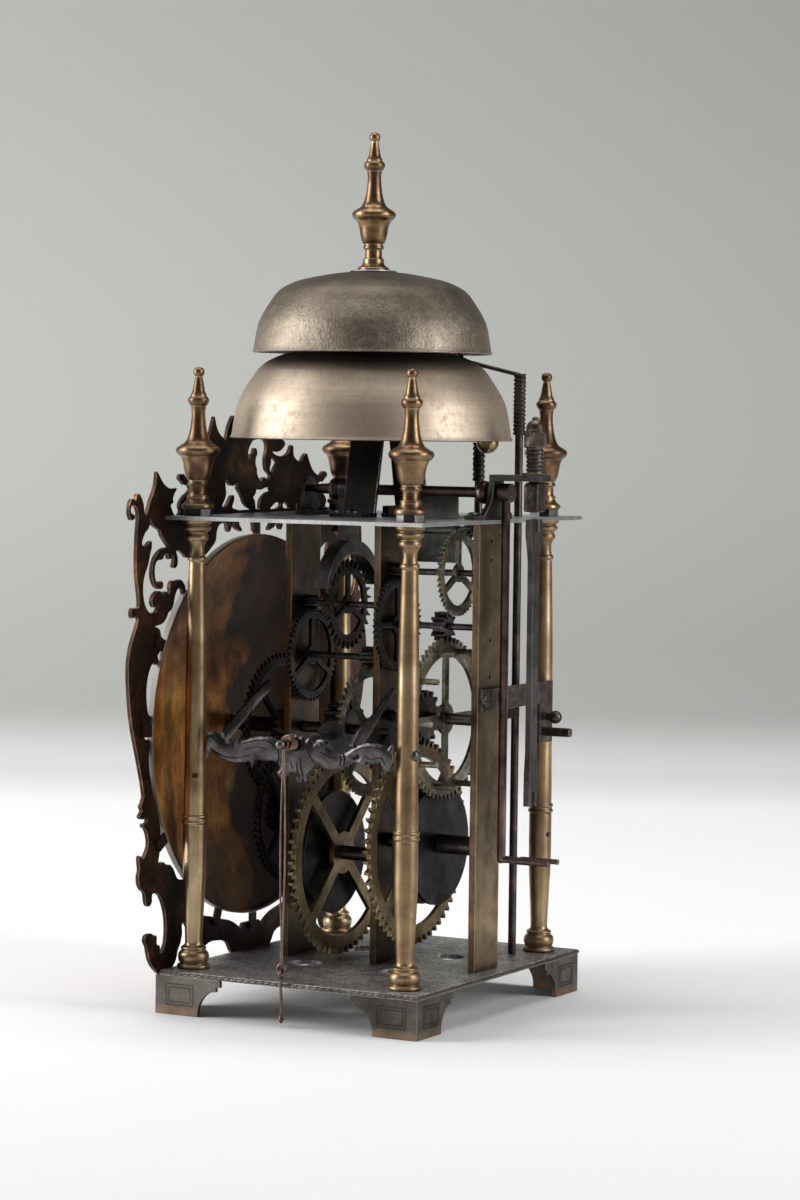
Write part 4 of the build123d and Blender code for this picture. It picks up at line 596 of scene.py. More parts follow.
# ---------------------------------------------------------------- trains
# Cast brass wheels with cut teeth, riveted to steel arbors with leaf pinions.
# The great wheels are golden olive and most upper ones nearly black, and old
# oil and dust have left a pale bloom on the other three.
great_brass = aged_metal(
    "great_wheel_brass", [(0.0, (0.12, 0.084, 0.042)), (0.5, (0.29, 0.205, 0.105)),
                          (1.0, (0.49, 0.365, 0.195))],
    worn=(0.70, 0.60, 0.40), patch=60.0, rough=(0.34, 0.52), relief=0.20, speck=0.6, painted_shade_share=0.35)
black_brass = aged_metal(
    "blackened_wheel", [(0.0, (0.020, 0.019, 0.017)), (0.6, (0.050, 0.048, 0.042)),
                        (1.0, (0.10, 0.095, 0.075))],
    worn=(0.30, 0.28, 0.24), patch=80.0, grain=1700.0, rough=(0.34, 0.55), relief=0.18, speck=0.5,
    painted_shade_share=0.7)
bloomed_brass = aged_metal(
    "bloomed_wheel", [(0.0, (0.15, 0.13, 0.08)), (0.5, (0.27, 0.24, 0.16)), (1.0, (0.40, 0.36, 0.25))],
    worn=(0.58, 0.54, 0.42), patch=90.0, rough=(0.40, 0.62), relief=0.25, speck=0.5,
    bloom=(0.62, 0.62, 0.58, 0.75), painted_shade_share=0.5)
arbor_steel = aged_metal(
    "arbor_steel", [(0.0, (0.065, 0.058, 0.055)), (0.5, (0.13, 0.115, 0.11)), (1.0, (0.23, 0.205, 0.19))],
    worn=(0.44, 0.42, 0.40), patch=110.0, grain=1900.0, rough=(0.28, 0.50), relief=0.16, speck=0.5,
    bloom=(0.42, 0.38, 0.35, 0.35), painted_shade_share=0.5)
dress(great_brass, "going_great_wheel", "strike_great_wheel")
dress(black_brass, "going_pulley", "strike_pulley", "third_wheel", "escape_wheel", "strike_third_wheel",
      "minute_wheel", "hour_wheel")
dress(bloomed_brass, "centre_wheel", "pin_wheel", "warning_wheel")
dress(arbor_steel, "going_great_arbor", "centre_arbor", "third_arbor", "escape_arbor", "minute_post",
      "strike_great_arbor", "pin_wheel_arbor", "strike_third_arbor", "warning_arbor")


# ---------------------------------------------------------------- fly
# Thin sheet vane, riveted along its arbor. It beats the air and slows the
# striking, and its sheet has gone a dull grey green.
fly_sheet = aged_metal(
    "fly_sheet", [(0.0, (0.07, 0.075, 0.065)), (0.5, (0.14, 0.145, 0.125)), (1.0, (0.24, 0.245, 0.22))],
    worn=(0.40, 0.40, 0.36), patch=55.0, rough=(0.42, 0.62), relief=0.18, speck=0.5,
    bloom=(0.45, 0.46, 0.42, 0.3))
dress(fly_sheet, "fly")


# ---------------------------------------------------------------- top plate
# Thin sheet polished bright grey, pierced for the anchor, the fly and the
# crutch. Eight-sided steel nuts hold it down, steel pins lock the bars, and
# one pillar has a round-headed screw in its side under the plate.
bright_plate = aged_metal(
    "bright_plate", [(0.0, (0.28, 0.28, 0.275)), (0.5, (0.56, 0.56, 0.55)), (1.0, (0.78, 0.78, 0.77))],
    worn=(0.85, 0.85, 0.83), patch=42.0, lines=(60.0, 1400.0, 60.0), rough=(0.30, 0.50), relief=0.20,
    edge=0.2 * mm, speck=0.6)
dress(bright_plate, "top_plate")
dark_steel = aged_metal(
    "dark_steel", [(0.0, (0.050, 0.046, 0.044)), (0.5, (0.10, 0.095, 0.092)), (1.0, (0.18, 0.17, 0.165))],
    worn=(0.40, 0.39, 0.38), patch=90.0, grain=1700.0, rough=(0.26, 0.48), relief=0.16, speck=0.45)
dress(dark_steel, "pillar_nuts", "bar_pins")
screw_rows = mm * moulding([(0.05, 1.5)], [(1.0, 1.35), (1.9, 0.8), (2.3, 0.0)], [(2.2, -0.6)],
                           [(0.05, -0.6)])
piece("pillar_screw", [pillar_peg(pillar_x, pillar_ys[1], 112.4, 4.3, 1.35, screw_rows)], dark_steel,
      "frame")


# ---------------------------------------------------------------- finials
# Cast and turned brass urns, screwed over the pillars' studs. One more of the
# same pattern stands on top of the bells.
finial_profile = mm * moulding(
    [(2.3, 0)], [(6.0, 0)], [(6.5, 0.3), (6.7, 1.0), (6.5, 1.8)], [(5.6, 2.4), (4.7, 3.2), (4.3, 4.4)],
    [(4.5, 4.9), (4.4, 5.4), (3.9, 5.7)], [(3.55, 6.6), (3.5, 8.0), (3.6, 9.4)],
    [(4.2, 9.7), (4.4, 10.4), (4.1, 11.1)], [(3.9, 11.5)],
    [(4.6, 12.2), (5.3, 14), (5.8, 16.5), (6.3, 19.2), (7.2, 21.4)], [(7.7, 21.7)],
    [(8.5, 22.4), (9.1, 23.4), (9.15, 24.4), (8.6, 25.3)], [(7.9, 25.6)],
    [(7.3, 26.1), (5.6, 27.2), (4.4, 29.2), (3.5, 32.4), (3.0, 36), (2.8, 39.4), (3.1, 42.2)],
    [(3.5, 42.6)], [(3.9, 43.1), (4.4, 44.2), (4.35, 45.1), (3.7, 46.0)], [(3.3, 46.3)],
    [(3.3, 46.9), (2.6, 48.4), (2.1, 51), (1.7, 53.2), (1.45, 54.2)],
    [(1.7, 54.5), (2.2, 55.4), (2.3, 56.3), (2.0, 57.3), (1.3, 57.95), (0.4, 58.2)])
finial_brass = aged_metal(
    "finial_brass", [(0.0, (0.070, 0.038, 0.026)), (0.4, (0.16, 0.092, 0.052)),
                     (0.75, (0.28, 0.182, 0.092)), (1.0, (0.45, 0.34, 0.18))],
    worn=(0.72, 0.62, 0.38), patch=60.0, grain=1700.0, lines=(60.0, 60.0, 1500.0), rough=(0.26, 0.42),
    relief=0.12, edge=1.1 * mm, corner_dark=(0.022, 0.012, 0.009), corner_reach=3.5 * mm, speck=0.45)
nut_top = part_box("pillar_nuts")[1][2]
piece("urn_finials", [lathe(finial_profile, (x, y, nut_top), 64) for x, y in pillar_spots],
      finial_brass, "frame", ("finials",))


# ---------------------------------------------------------------- anchor and cocks
# The anchor and its two steel cocks. The pallet arbor is forged steel with a
# tapered nose, a brass collet at the anchor and a steel collar at the back.
brown_steel = aged_metal(
    "brown_steel", [(0.0, (0.075, 0.048, 0.040)), (0.5, (0.15, 0.10, 0.085)), (1.0, (0.25, 0.175, 0.15))],
    worn=(0.46, 0.37, 0.33), patch=80.0, grain=1700.0, lines=(120.0, 120.0, 700.0), rough=(0.30, 0.48),
    relief=0.18, speck=0.5)
dress(dark_steel, "anchor", "front_cock", "back_cock")
arbor_low, arbor_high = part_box("pallet_arbor")
anchor_low, anchor_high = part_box("anchor")
anchor_rise = 4.8 * mm
pallet_z = anchor_high[2] - anchor_rise
nose = (anchor_low[1] - arbor_low[1]) / mm
far = (arbor_high[1] - arbor_low[1]) / mm
pallet_profile = mm * moulding(
    [(0.9, 0)], [(0.9, 1.9)], [(1.3, 1.9)], [(1.35, 3.0)],
    [(1.9, 5.2), (2.3, nose - 6.5), (2.5, nose - 5.6)],
    [(3.0, nose - 5.4)], [(3.0, nose - 4.6)], [(4.3, nose - 4.4)], [(4.6, nose - 3.6), (4.6, nose - 2.6)],
    [(4.3, nose - 2.2)], [(4.3, nose - 1.8)], [(4.6, nose - 1.4), (4.6, nose - 0.7), (4.2, nose)],
    [(2.2, nose)], [(2.2, far - 15.5)], [(3.2, far - 15.4)],
    [(4.2, far - 14.6), (4.75, far - 13.2), (4.7, far - 11.6), (3.8, far - 10.6)], [(2.2, far - 10.4)],
    [(2.2, far - 9.5)], [(1.5, far - 9.4)], [(1.5, far)])
piece("pallet_spindle", [lathe(pallet_profile, (0, arbor_low[1], pallet_z), 40, "y")],
      brown_steel, "pallets", ("pallet_arbor",))
collet_brass = aged_metal(
    "collet_brass", [(0.0, (0.11, 0.09, 0.055)), (1.0, (0.27, 0.22, 0.13))],
    worn=(0.5, 0.42, 0.26), patch=120.0, grain=1700.0, rough=(0.34, 0.5), relief=0.12)
collet_bore = 2.3
collet_profile = mm * moulding(
    [(collet_bore, nose - 3.6)], [(4.62, nose - 3.6)], [(4.9, nose - 3.4)],
    [(5.0, nose - 3.0), (4.9, nose - 2.5)], [(4.62, nose - 2.3)], [(collet_bore, nose - 2.3)])
piece("anchor_collet", [lathe(collet_profile, (0, arbor_low[1], pallet_z), 40, "y", True)],
      collet_brass, "pallets")
dress(brown_steel, "crutch")


# ---------------------------------------------------------------- suspension
# A threaded steel stud through the back cock's arm, with a capped nut above
# and a slit block below that grips the pendulum's spring.
stud_low, stud_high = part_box("suspension_stud")
spring_low, spring_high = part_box("suspension_spring")
stud_y = (spring_low[1] + spring_high[1]) / 2
cock_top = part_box("back_cock")[1][2]
rusty_steel = aged_metal(
    "rusty_steel", [(0.0, (0.035, 0.027, 0.024)), (0.5, (0.080, 0.060, 0.052)),
                    (1.0, (0.16, 0.125, 0.11))],
    worn=(0.38, 0.33, 0.29), patch=130.0, grain=1700.0, rough=(0.32, 0.55), relief=0.25, speck=0.6,
    bloom=(0.42, 0.37, 0.34, 0.2))
dress(bright_plate, "suspension_spring")
thread_core = 2.75 * mm
thread_depth = 0.95 * mm
thread_pitch = 1.7 * mm
rows_a_turn = 9


def helix_skin(low, high, core, depth, pitch, centre, axis="z"):
    """Threaded or coiled rod: radius core + depth sqrt|sin(pi (h / pitch - v / 2 pi))| at height h."""
    columns = 24
    rows = int((high - low) / pitch * rows_a_turn)
    height = np.linspace(0, high - low, rows)
    points, faces = lathe(np.column_stack([np.ones(rows), height]), (0, 0, 0), columns, axis)
    turn = np.linspace(0, 1, columns, endpoint=False)
    wave = np.abs(np.sin(pi * (height[:, None] / pitch - turn[None, :])))
    radius = core + depth * np.sqrt(wave)
    across = {"x": (1, 2), "y": (2, 0), "z": (0, 1)}[axis]
    for way in across:
        points[:, :, way] *= radius
    points[:, :, 3 - sum(across)] += low
    return points + np.asarray(centre, float), faces


nut_height = 6.2 * mm
nut_spot = stud_high[2] - nut_height - 5.6 * mm


def prism(profile, centre, sides, turned=0.0):
    """Bar with flat sides: the profile's radius r and height h at each of its corners round z."""
    turn = full_turn(sides) + turned
    points = np.stack([profile[:, :1] * np.cos(turn), profile[:, :1] * np.sin(turn),
                       np.broadcast_to(profile[:, 1:], (len(profile), sides))], -1)
    return points + np.asarray(centre, float), ring_faces(len(profile), sides)


def rounded_block(centre, half_x, half_y, rows):
    """Block with rounded corners: at each (grow, height), grow times a superellipse of power 6."""
    columns = 40
    power = 6
    turn = full_turn(columns)
    reach = (np.abs(np.cos(turn))**power + np.abs(np.sin(turn))**power)**(-1 / power)
    grow, height = np.asarray(rows, float).T[:, :, None]
    points = np.stack([grow * half_x * reach * np.cos(turn), grow * half_y * reach * np.sin(turn),
                       np.broadcast_to(height, (len(rows), columns))], -1)
    return points + np.asarray(centre, float), ring_faces(len(rows), columns)


block_rows = [(0.1, 0.0), (0.86, 0.0), (0.97, 0.4 * mm), (1.0, 1.2 * mm), (1.0, 9.6 * mm), (0.96, 10.9 * mm),
              (0.84, 11.8 * mm), (0.5, 12.3 * mm), (0.1, 12.4 * mm)]
nut_profile = mm * np.array([(3.0, 0.0), (4.4, 0.0), (4.9, 0.6), (4.9, 5.6), (4.4, 6.2), (3.0, 6.2)])
cap_profile = mm * moulding(
    [(2.0, 0)], [(4.1, 0)], [(4.2, 0.5), (4.0, 1.0)], [(3.8, 1.2)],
    [(3.9, 2.2), (3.4, 3.6), (2.3, 4.7), (1.4, 5.2)], [(1.5, 5.5), (1.3, 6.2), (0.4, 6.6)])
washer_rows = mm * np.array([(2.8, 0.0), (4.9, 0.0), (5.2, 0.4), (5.0, 0.9), (2.8, 0.9)])
stud_neck = np.array([(2.4 * mm, stud_low[2] + 9 * mm), (2.4 * mm, cock_top)])
piece("suspension_fitting", [
    rounded_block((0, stud_y, stud_low[2]), 4.2 * mm, 3.4 * mm, block_rows),
    lathe(stud_neck, (0, stud_y, 0), 32),
    helix_skin(cock_top, nut_spot + 1.0 * mm, thread_core, thread_depth, thread_pitch, (0, stud_y, 0)),
    prism(nut_profile, (0, stud_y, nut_spot), 6, 0.25),
    lathe(cap_profile, (0, stud_y, nut_spot + nut_height), 32),
    lathe(washer_rows, (0, stud_y, cock_top), 32)],
      rusty_steel, "frame", ("suspension_stud",), 35.0)


# ---------------------------------------------------------------- bells
# Two bells cast in bell metal and turned thin, the crown of the large one just
# inside the mouth of the small one above it. The large one is satin and golden
# grey, and the small one is darker and keeps the grain of its casting.
lower_low, lower_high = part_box("lower_bell")
upper_low, upper_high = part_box("upper_bell")
bell_axis = ((lower_low[0] + lower_high[0]) / 2, (lower_low[1] + lower_high[1]) / 2)
bell_wall = 2.0 * mm
bell_bore = 2.5 * mm
rim_round = 0.45 * mm
bell_curve = [(0.992, 0.0), (0.955, 0.32), (0.915, 0.47), (0.855, 0.615), (0.795, 0.738), (0.722, 0.82),
              (0.588, 0.9), (0.343, 0.973), (0.2, 1.0)]


def bell_shape(low, high):
    """Turned bell: outer curve up to the bore and inner curve back down, closed at a rounded rim. The
    curve is in shares of the bell's radius and height."""
    radius = (high[0] - low[0]) / 2
    height = high[2] - low[2]
    outer = smooth_run(bell_curve, 8)
    inner = outer[::-1] * (radius - bell_wall, height - bell_wall)
    lip = [(radius - bell_wall * 0.80, -0.0001 * mm), (radius - bell_wall * 0.30, 0.0)]
    outer = outer * (radius, height)
    outer[0] = (radius, rim_round)
    inner[-1] = (radius - bell_wall, rim_round)
    profile = np.vstack([outer, [(bell_bore, height), (bell_bore, height - bell_wall)], inner, lip])
    return lathe(profile, (*bell_axis, low[2]), 160, "z", True)


satin_bell = aged_metal(
    "satin_bell_metal", [(0.0, (0.35, 0.275, 0.205)), (0.45, (0.48, 0.39, 0.30)),
                         (1.0, (0.60, 0.50, 0.40))],
    worn=(0.74, 0.66, 0.55), patch=20.0, grain=1300.0, lines=(26.0, 26.0, 1500.0), rough=(0.46, 0.60),
    relief=0.20, bloom=(0.15, 0.115, 0.085, 0.30), painted_shade_share=0.55)
grained_bell = aged_metal(
    "grained_bell_metal", [(0.0, (0.14, 0.115, 0.09)), (0.5, (0.27, 0.225, 0.175)),
                           (1.0, (0.43, 0.36, 0.285))],
    worn=(0.62, 0.53, 0.43), patch=22.0, grain=850.0, rough=(0.40, 0.54), relief=1.0, speck=0.40,
    bloom=(0.50, 0.44, 0.37, 0.30), pits=(0.25, 0.55))


def painted_crown_shade(material, low, high, share, shade_colour):
    """Painted shade on a bell, darker towards its crown: share of the shade colour at height high, none at
    low.
    """
    tree = material.node_tree
    spot = object_spot(tree)
    waver = 5 * mm
    drift = mapped(tree, noise(tree, spot, 28.0, 4.0), 0.3, 0.7, -waver, waver)
    tall = sum_of(tree, "ADD", part_of(tree, spot, "Z"), drift)
    overlaid(material, mapped(tree, tall, low, high, 0.0, share), shade_colour)


# Painted shade: both bells darken towards their crowns, the large one where it sits under the small one.
painted_crown_shade(satin_bell, lower_low[2] + 0.45 * (lower_high[2] - lower_low[2]), lower_high[2], 0.75,
                (0.10, 0.078, 0.056))
painted_crown_shade(grained_bell, upper_low[2] + 0.30 * (upper_high[2] - upper_low[2]), upper_high[2], 0.88,
                (0.060, 0.047, 0.036))
piece("hour_bell", [bell_shape(lower_low, lower_high)], satin_bell, "frame", ("lower_bell",))
piece("quarter_bell", [bell_shape(upper_low, upper_high)], grained_bell, "frame",
      ("upper_bell",))
piece("bell_finial_urn", [lathe(finial_profile, (*bell_axis, upper_high[2]), 64)], finial_brass, "frame",
      ("bell_finial",))
washer_profile = mm * moulding([(2.6, 0.02)], [(9.4, 0.02)], [(9.9, 0.3), (9.6, 0.7)], [(6.4, 0.9)],
                               [(2.6, 0.9)])
piece("crown_washer", [lathe(washer_profile, (*bell_axis, upper_high[2]), 64, "z", True)], bright_plate,
      "frame")
dress(arbor_steel, "bell_post", "bell_spacer")
polished_black = aged_metal(
    "polished_black", [(0.0, (0.030, 0.029, 0.028)), (0.6, (0.065, 0.063, 0.060)),
                       (1.0, (0.12, 0.118, 0.115))],
    worn=(0.50, 0.49, 0.48), patch=60.0, grain=1700.0, lines=(40.0, 1500.0, 40.0), rough=(0.16, 0.32),
    relief=0.06, speck=0.30)
dress(polished_black, "bell_strap")
dress(arbor_steel, "frame_screws")


# ---------------------------------------------------------------- hammers
# Two upright steel arbors. Each ends in a close coil of the wire that carries
# its ball: brass for the large bell, and a small steel one for the other.
coil_iron = aged_metal(
    "coil_iron", [(0.0, (0.040, 0.034, 0.031)), (0.6, (0.085, 0.068, 0.060)), (1.0, (0.15, 0.115, 0.10))],
    worn=(0.30, 0.25, 0.22), patch=110.0, grain=1700.0, rough=(0.32, 0.5), relief=0.16, speck=0.45)
dress(coil_iron, "high_hammer", "low_hammer")
ball_brass = aged_metal(
    "ball_brass", [(0.0, (0.18, 0.12, 0.05)), (1.0, (0.42, 0.31, 0.14))],
    worn=(0.55, 0.42, 0.2), patch=90.0, grain=1700.0, rough=(0.25, 0.4), relief=0.06)
joint_spots = {joint["name"]: joint["pos_m"] for joint in frame["joints"]}
high_axis = joint_spots["high_hammer_turn"]
low_axis = joint_spots["low_hammer_turn"]
coil_core = 1.75 * mm
coil_wire = 0.95 * mm
high_coil_pitch = 1.75 * mm
high_coil_top = upper_low[2] - 7.5 * mm
high_coil_foot = high_coil_top - 26 * mm
low_coil_pitch = 2.2 * mm
low_coil_top = lower_low[2] - 1.0 * mm
low_coil_foot = low_coil_top - 16.5 * mm
piece("high_hammer_coil", [helix_skin(high_coil_foot, high_coil_top, coil_core, coil_wire, high_coil_pitch,
                                      (high_axis[0], high_axis[1], 0))],
      coil_iron, "high_bell_hammer", sharp=180.0)
piece("low_hammer_coil", [helix_skin(low_coil_foot, low_coil_top, coil_core, coil_wire, low_coil_pitch,
                                     (low_axis[0], low_axis[1], 0))],
      coil_iron, "low_bell_hammer", sharp=180.0)
low_ball_radius = 4.7 * mm
ball_gap = 1.0 * mm
reach = (lower_high[0] - lower_low[0]) / 2 - bell_wall - low_ball_radius - ball_gap
ball_z = lower_low[2] - 0.8 * mm
arm_length = 15.0 * mm
toward_bell = np.array([bell_axis[0] - low_axis[0], bell_axis[1] - low_axis[1]])
span = float(np.linalg.norm(toward_bell))
lean = np.arccos((span**2 + arm_length**2 - reach**2) / (2 * span * arm_length))
ball_angle = np.arctan2(toward_bell[1], toward_bell[0]) + lean
ball_spot = (low_axis[0] + arm_length * cos(ball_angle), low_axis[1] + arm_length * sin(ball_angle), ball_z)
half_turn = np.linspace(-0.499 * pi, 0.499 * pi, 25)
ball_profile = low_ball_radius * 1.01 * np.column_stack([np.cos(half_turn), np.sin(half_turn)])
piece("low_hammer_ball", [lathe(ball_profile, ball_spot, 40)], ball_brass, "low_bell_hammer")


# ---------------------------------------------------------------- dial and hands
# A domed dish of sheet brass, burnished to amber inside, with painted shadow over
# much of its back and a painted highlight along its rim. Its front carries a
# silvered chapter ring with plain numerals and two pierced steel hands.
dial_low, dial_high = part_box("dial")
dial_middle = (dial_low[2] + dial_high[2]) / 2
rim_radius = 81.4 * mm


def dial_amber_and_painted_light():
    """Amber lacquer on brass, with painted light: a painted shadow darkens the back on its -x half, above
    and below, a painted highlight makes a pale line inside the rim, and the tabs are dark."""
    material = aged_metal(
        "dial_amber", [(0.0, (0.11, 0.032, 0.007)), (0.40, (0.42, 0.145, 0.022)),
                       (0.70, (0.76, 0.31, 0.050)), (1.0, (0.97, 0.50, 0.11))],
        worn=(0.50, 0.40, 0.26), patch=34.0, grain=600.0, lines=(300.0, 300.0, 110.0), rough=(0.30, 0.48),
        relief=0.35, corner_dark=(0.03, 0.012, 0.006), speck=0.8)
    tree = material.node_tree
    shader = tree.nodes["Principled BSDF"]
    spot = object_spot(tree)
    # Painted shadow: the back is darkened on its -x half, above and below, with a wavering edge.
    waver = 16 * mm
    drift = mapped(tree, noise(tree, spot, 30.0, 6.0), 0.3, 0.7, -waver, waver)
    across = sum_of(tree, "ADD", part_of(tree, spot, "X"), drift)
    tall = sum_of(tree, "ADD", part_of(tree, spot, "Z"), drift)
    inward = mapped(tree, across, 20 * mm, 0.0, 0.0, 0.97)
    above = mapped(tree, tall, 128 * mm, 162 * mm, 0.0, 0.75)
    below = mapped(tree, tall, 88 * mm, 62 * mm, 0.0, 0.85)
    painted_shadow = sum_of(tree, "MAXIMUM", inward, sum_of(tree, "MAXIMUM", above, below))
    facing = part_of(tree, shader_node(tree, "TexCoord").outputs["Normal"], "Y")
    painted_shadow = sum_of(tree, "MULTIPLY", painted_shadow, sum_of(tree, "GREATER_THAN", facing, 0.2))
    overlaid(material, painted_shadow, (0.007, 0.004, 0.003))
    level = shader_node(tree, "VectorMath", {0: spot, 1: (1.0, 0.0, 1.0)}, operation="MULTIPLY").outputs[0]
    reach = shader_node(tree, "VectorMath", {0: level, 1: (0.0, 0.0, dial_middle)}, operation="DISTANCE")
    reach = reach.outputs["Value"]
    # Painted highlight: a thin pale line just inside the rim.
    rim = mapped(tree, reach, rim_radius - 0.5 * mm, rim_radius - 0.1 * mm)
    overlaid(material, rim, (0.24, 0.225, 0.20))
    tab = mapped(tree, reach, rim_radius + 0.15 * mm, rim_radius + 0.5 * mm)
    overlaid(material, tab, (0.030, 0.018, 0.013))
    shader.inputs["Metallic"].default_value = 0.7
    shader.inputs["Specular IOR Level"].default_value = 0.1
    return material


dress(dial_amber_and_painted_light(), "dial")
dress(polished_black, "hour_hand", "minute_hand")
hub_x = joint_spots["centre_spin"][0]
hub_z = joint_spots["centre_spin"][2]
fret_low, fret_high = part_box("fret")
apex_radius = 3.8 * mm
rim_y = fret_low[1]
apex_y = dial_low[1]
sag_share = 0.754
sag_y = rim_y - sag_share * (rim_y - apex_y)


def dome_front(radius):
    """Depth of the dish's front at a radius, on the circle through its rim, half way and crown."""
    places = np.array([[rim_radius, rim_y], [rim_radius / 2, sag_y], [apex_radius, apex_y]])
    sides = 2 * (places[1:] - places[0])
    sums = (places[1:]**2).sum(1) - (places[0]**2).sum()
    middle = np.linalg.solve(sides, sums)
    bend = np.hypot(*(places[0] - middle))
    return middle[1] - np.sqrt(bend**2 - (radius - middle[0])**2)


ring_inner = 50.0 * mm
ring_outer = 76.5 * mm
ring_rise = 0.9 * mm
ring_radii = np.linspace(ring_inner, ring_outer, 12)
ring_front = np.column_stack([ring_radii, dome_front(ring_radii) - ring_rise])
ring_back = np.column_stack([ring_radii[::-1], dome_front(ring_radii[::-1]) + 0.1 * mm])
ring_profile = np.vstack([ring_front, ring_back])
silvered = aged_metal(
    "silvered_ring", [(0.0, (0.42, 0.40, 0.36)), (1.0, (0.66, 0.64, 0.59))],
    worn=(0.74, 0.68, 0.54), patch=40.0, rough=(0.36, 0.5), relief=0.08, speck=0.25)
piece("chapter_ring", [lathe(ring_profile, (hub_x, 0, hub_z), 128, "y", True)], silvered, "frame")
engraved_wax = aged_metal(
    "engraved_wax", [(0.0, (0.012, 0.012, 0.012)), (1.0, (0.03, 0.03, 0.03))],
    worn=(0.05, 0.05, 0.05), rough=(0.5, 0.65), relief=0.05)


def on_dome(points, stand):
    """Points drawn across the dial, with depth moved to the ring's front less stand and their own depth."""
    laid = points.copy()
    radius = np.hypot(points[:, 0], points[:, 2])
    laid[:, 1] = dome_front(radius) - ring_rise - stand + points[:, 1]
    return laid + (hub_x, 0, hub_z)


quarter_inner = 51.6 * mm
quarter_outer = 55.0 * mm
hour_mark_inner = 51.0 * mm
outer_line = 74.6 * mm
ring_line = 0.22 * mm
mark_line = 0.2 * mm
quarters = 48


def ring_marks():
    """Three fine rings and a mark for each quarter of an hour, as thin wires laid on the chapter ring."""
    shapes = []
    turn = full_turn(180)
    for radius in (quarter_inner, quarter_outer, outer_line):
        path = on_dome(np.column_stack([radius * np.cos(turn), 0 * turn, radius * np.sin(turn)]), 0.0)
        shapes.append(tube(path, ring_line, (0, 1, 0), 6, True))
    for mark in range(quarters):
        angle = mark * 2 * pi / quarters
        radii = np.linspace(quarter_inner if mark % 4 else hour_mark_inner, quarter_outer, 4)
        path = on_dome(np.column_stack([radii * sin(angle), 0 * radii, radii * cos(angle)]), 0.0)
        shapes.append(tube(path, mark_line, (0, 1, 0), 6))
    return shapes


piece("chapter_marks", ring_marks(), engraved_wax, "frame")
numerals = ("XII", "I", "II", "III", "IIII", "V", "VI", "VII", "VIII", "IX", "X", "XI")
numeral_radius = 65.0 * mm
numeral_height = 14.5 * mm
stroke = 1.9 * mm
hair = 0.8 * mm
letter_gap = 0.7 * mm
figure_room = 22 * mm
figure_rise = 0.05 * mm
letter_wide = {"I": 3.6 * mm, "V": 9.0 * mm, "X": 9.0 * mm}
# Each stroke is from and to, as millimetres across and half heights up, and how thick.
letter_strokes = {
    "I": [((1.8, -1), (1.8, 1), stroke), ((0, 1), (3.6, 1), hair), ((0, -1), (3.6, -1), hair)],
    "V": [((1.6, 1), (4.68, -1), stroke), ((7.8, 1), (4.68, -1), hair), ((0, 1), (3.6, 1), hair),
          ((6, 1), (9, 1), hair)],
    "X": [((1.6, 1), (7.4, -1), stroke), ((7.6, 1), (1.4, -1), hair), ((0, 1), (3.4, 1), hair),
          ((6, 1), (9, 1), hair), ((0, -1), (3, -1), hair), ((5.6, -1), (9, -1), hair)]}


def stroke_bar(start, end, thick):
    """One engraved stroke as a closed slab between two points of the dial, fine enough to follow it."""
    start = np.asarray(start, float)
    end = np.asarray(end, float)
    steps = 5
    middle = start + np.linspace(0, 1, steps)[:, None] * (end - start)
    way = (end - start) / np.linalg.norm(end - start)
    beside = np.array([-way[1], way[0]]) * thick / 2
    depth = 0.12 * mm
    section = [middle - beside, middle + beside]
    rows = np.zeros((steps, 4, 3))
    for corner, (edge, y) in enumerate(((0, depth), (1, depth), (1, -depth), (0, -depth))):
        rows[:, corner, 0] = section[edge][:, 0]
        rows[:, corner, 1] = y
        rows[:, corner, 2] = section[edge][:, 1]
    return rows, ring_faces(steps, 4)


figure_shapes = []
for hour, figure in enumerate(numerals):
    figure_wide = sum(letter_wide[letter] for letter in figure) + (len(figure) - 1) * letter_gap
    squeeze = min(1.0, figure_room / figure_wide)
    cursor = -figure_wide / 2
    hour_angle = hour * pi / 6
    for letter in figure:
        for start, end, thick in letter_strokes[letter]:
            ends = [((cursor + across * mm) * squeeze, side * numeral_height / 2)
                    for across, side in (start, end)]
            rows, faces = stroke_bar(*ends, thick)
            flat = rows.reshape(-1, 3)
            across = flat[:, 0].copy()
            outward = flat[:, 2] + numeral_radius
            flat[:, 0] = across * cos(hour_angle) + outward * sin(hour_angle)
            flat[:, 2] = outward * cos(hour_angle) - across * sin(hour_angle)
            figure_shapes.append((on_dome(flat, figure_rise), faces))
        cursor += letter_wide[letter] + letter_gap
piece("chapter_numerals", figure_shapes, engraved_wax, "frame")


# ---------------------------------------------------------------- fret
# One sheet of brass, sawn through and filed by hand to scrolls and leaves, and
# left to go dark brown, with copper showing where it has been rubbed.
def within(points, loop):
    """Whether each point (a, b) is inside a closed loop, by the even and odd crossings of its edges."""
    start = loop[None, :, :]
    end = np.roll(loop, -1, 0)[None, :, :]
    a, b = points[:, None, 0], points[:, None, 1]
    spans = (start[..., 1] > b) != (end[..., 1] > b)
    rise = np.where(spans, end[..., 1] - start[..., 1], 1.0)
    return (spans & (a < start[..., 0] + (b - start[..., 1]) * (end[..., 0] - start[..., 0]) / rise)
            ).sum(1) % 2 == 1


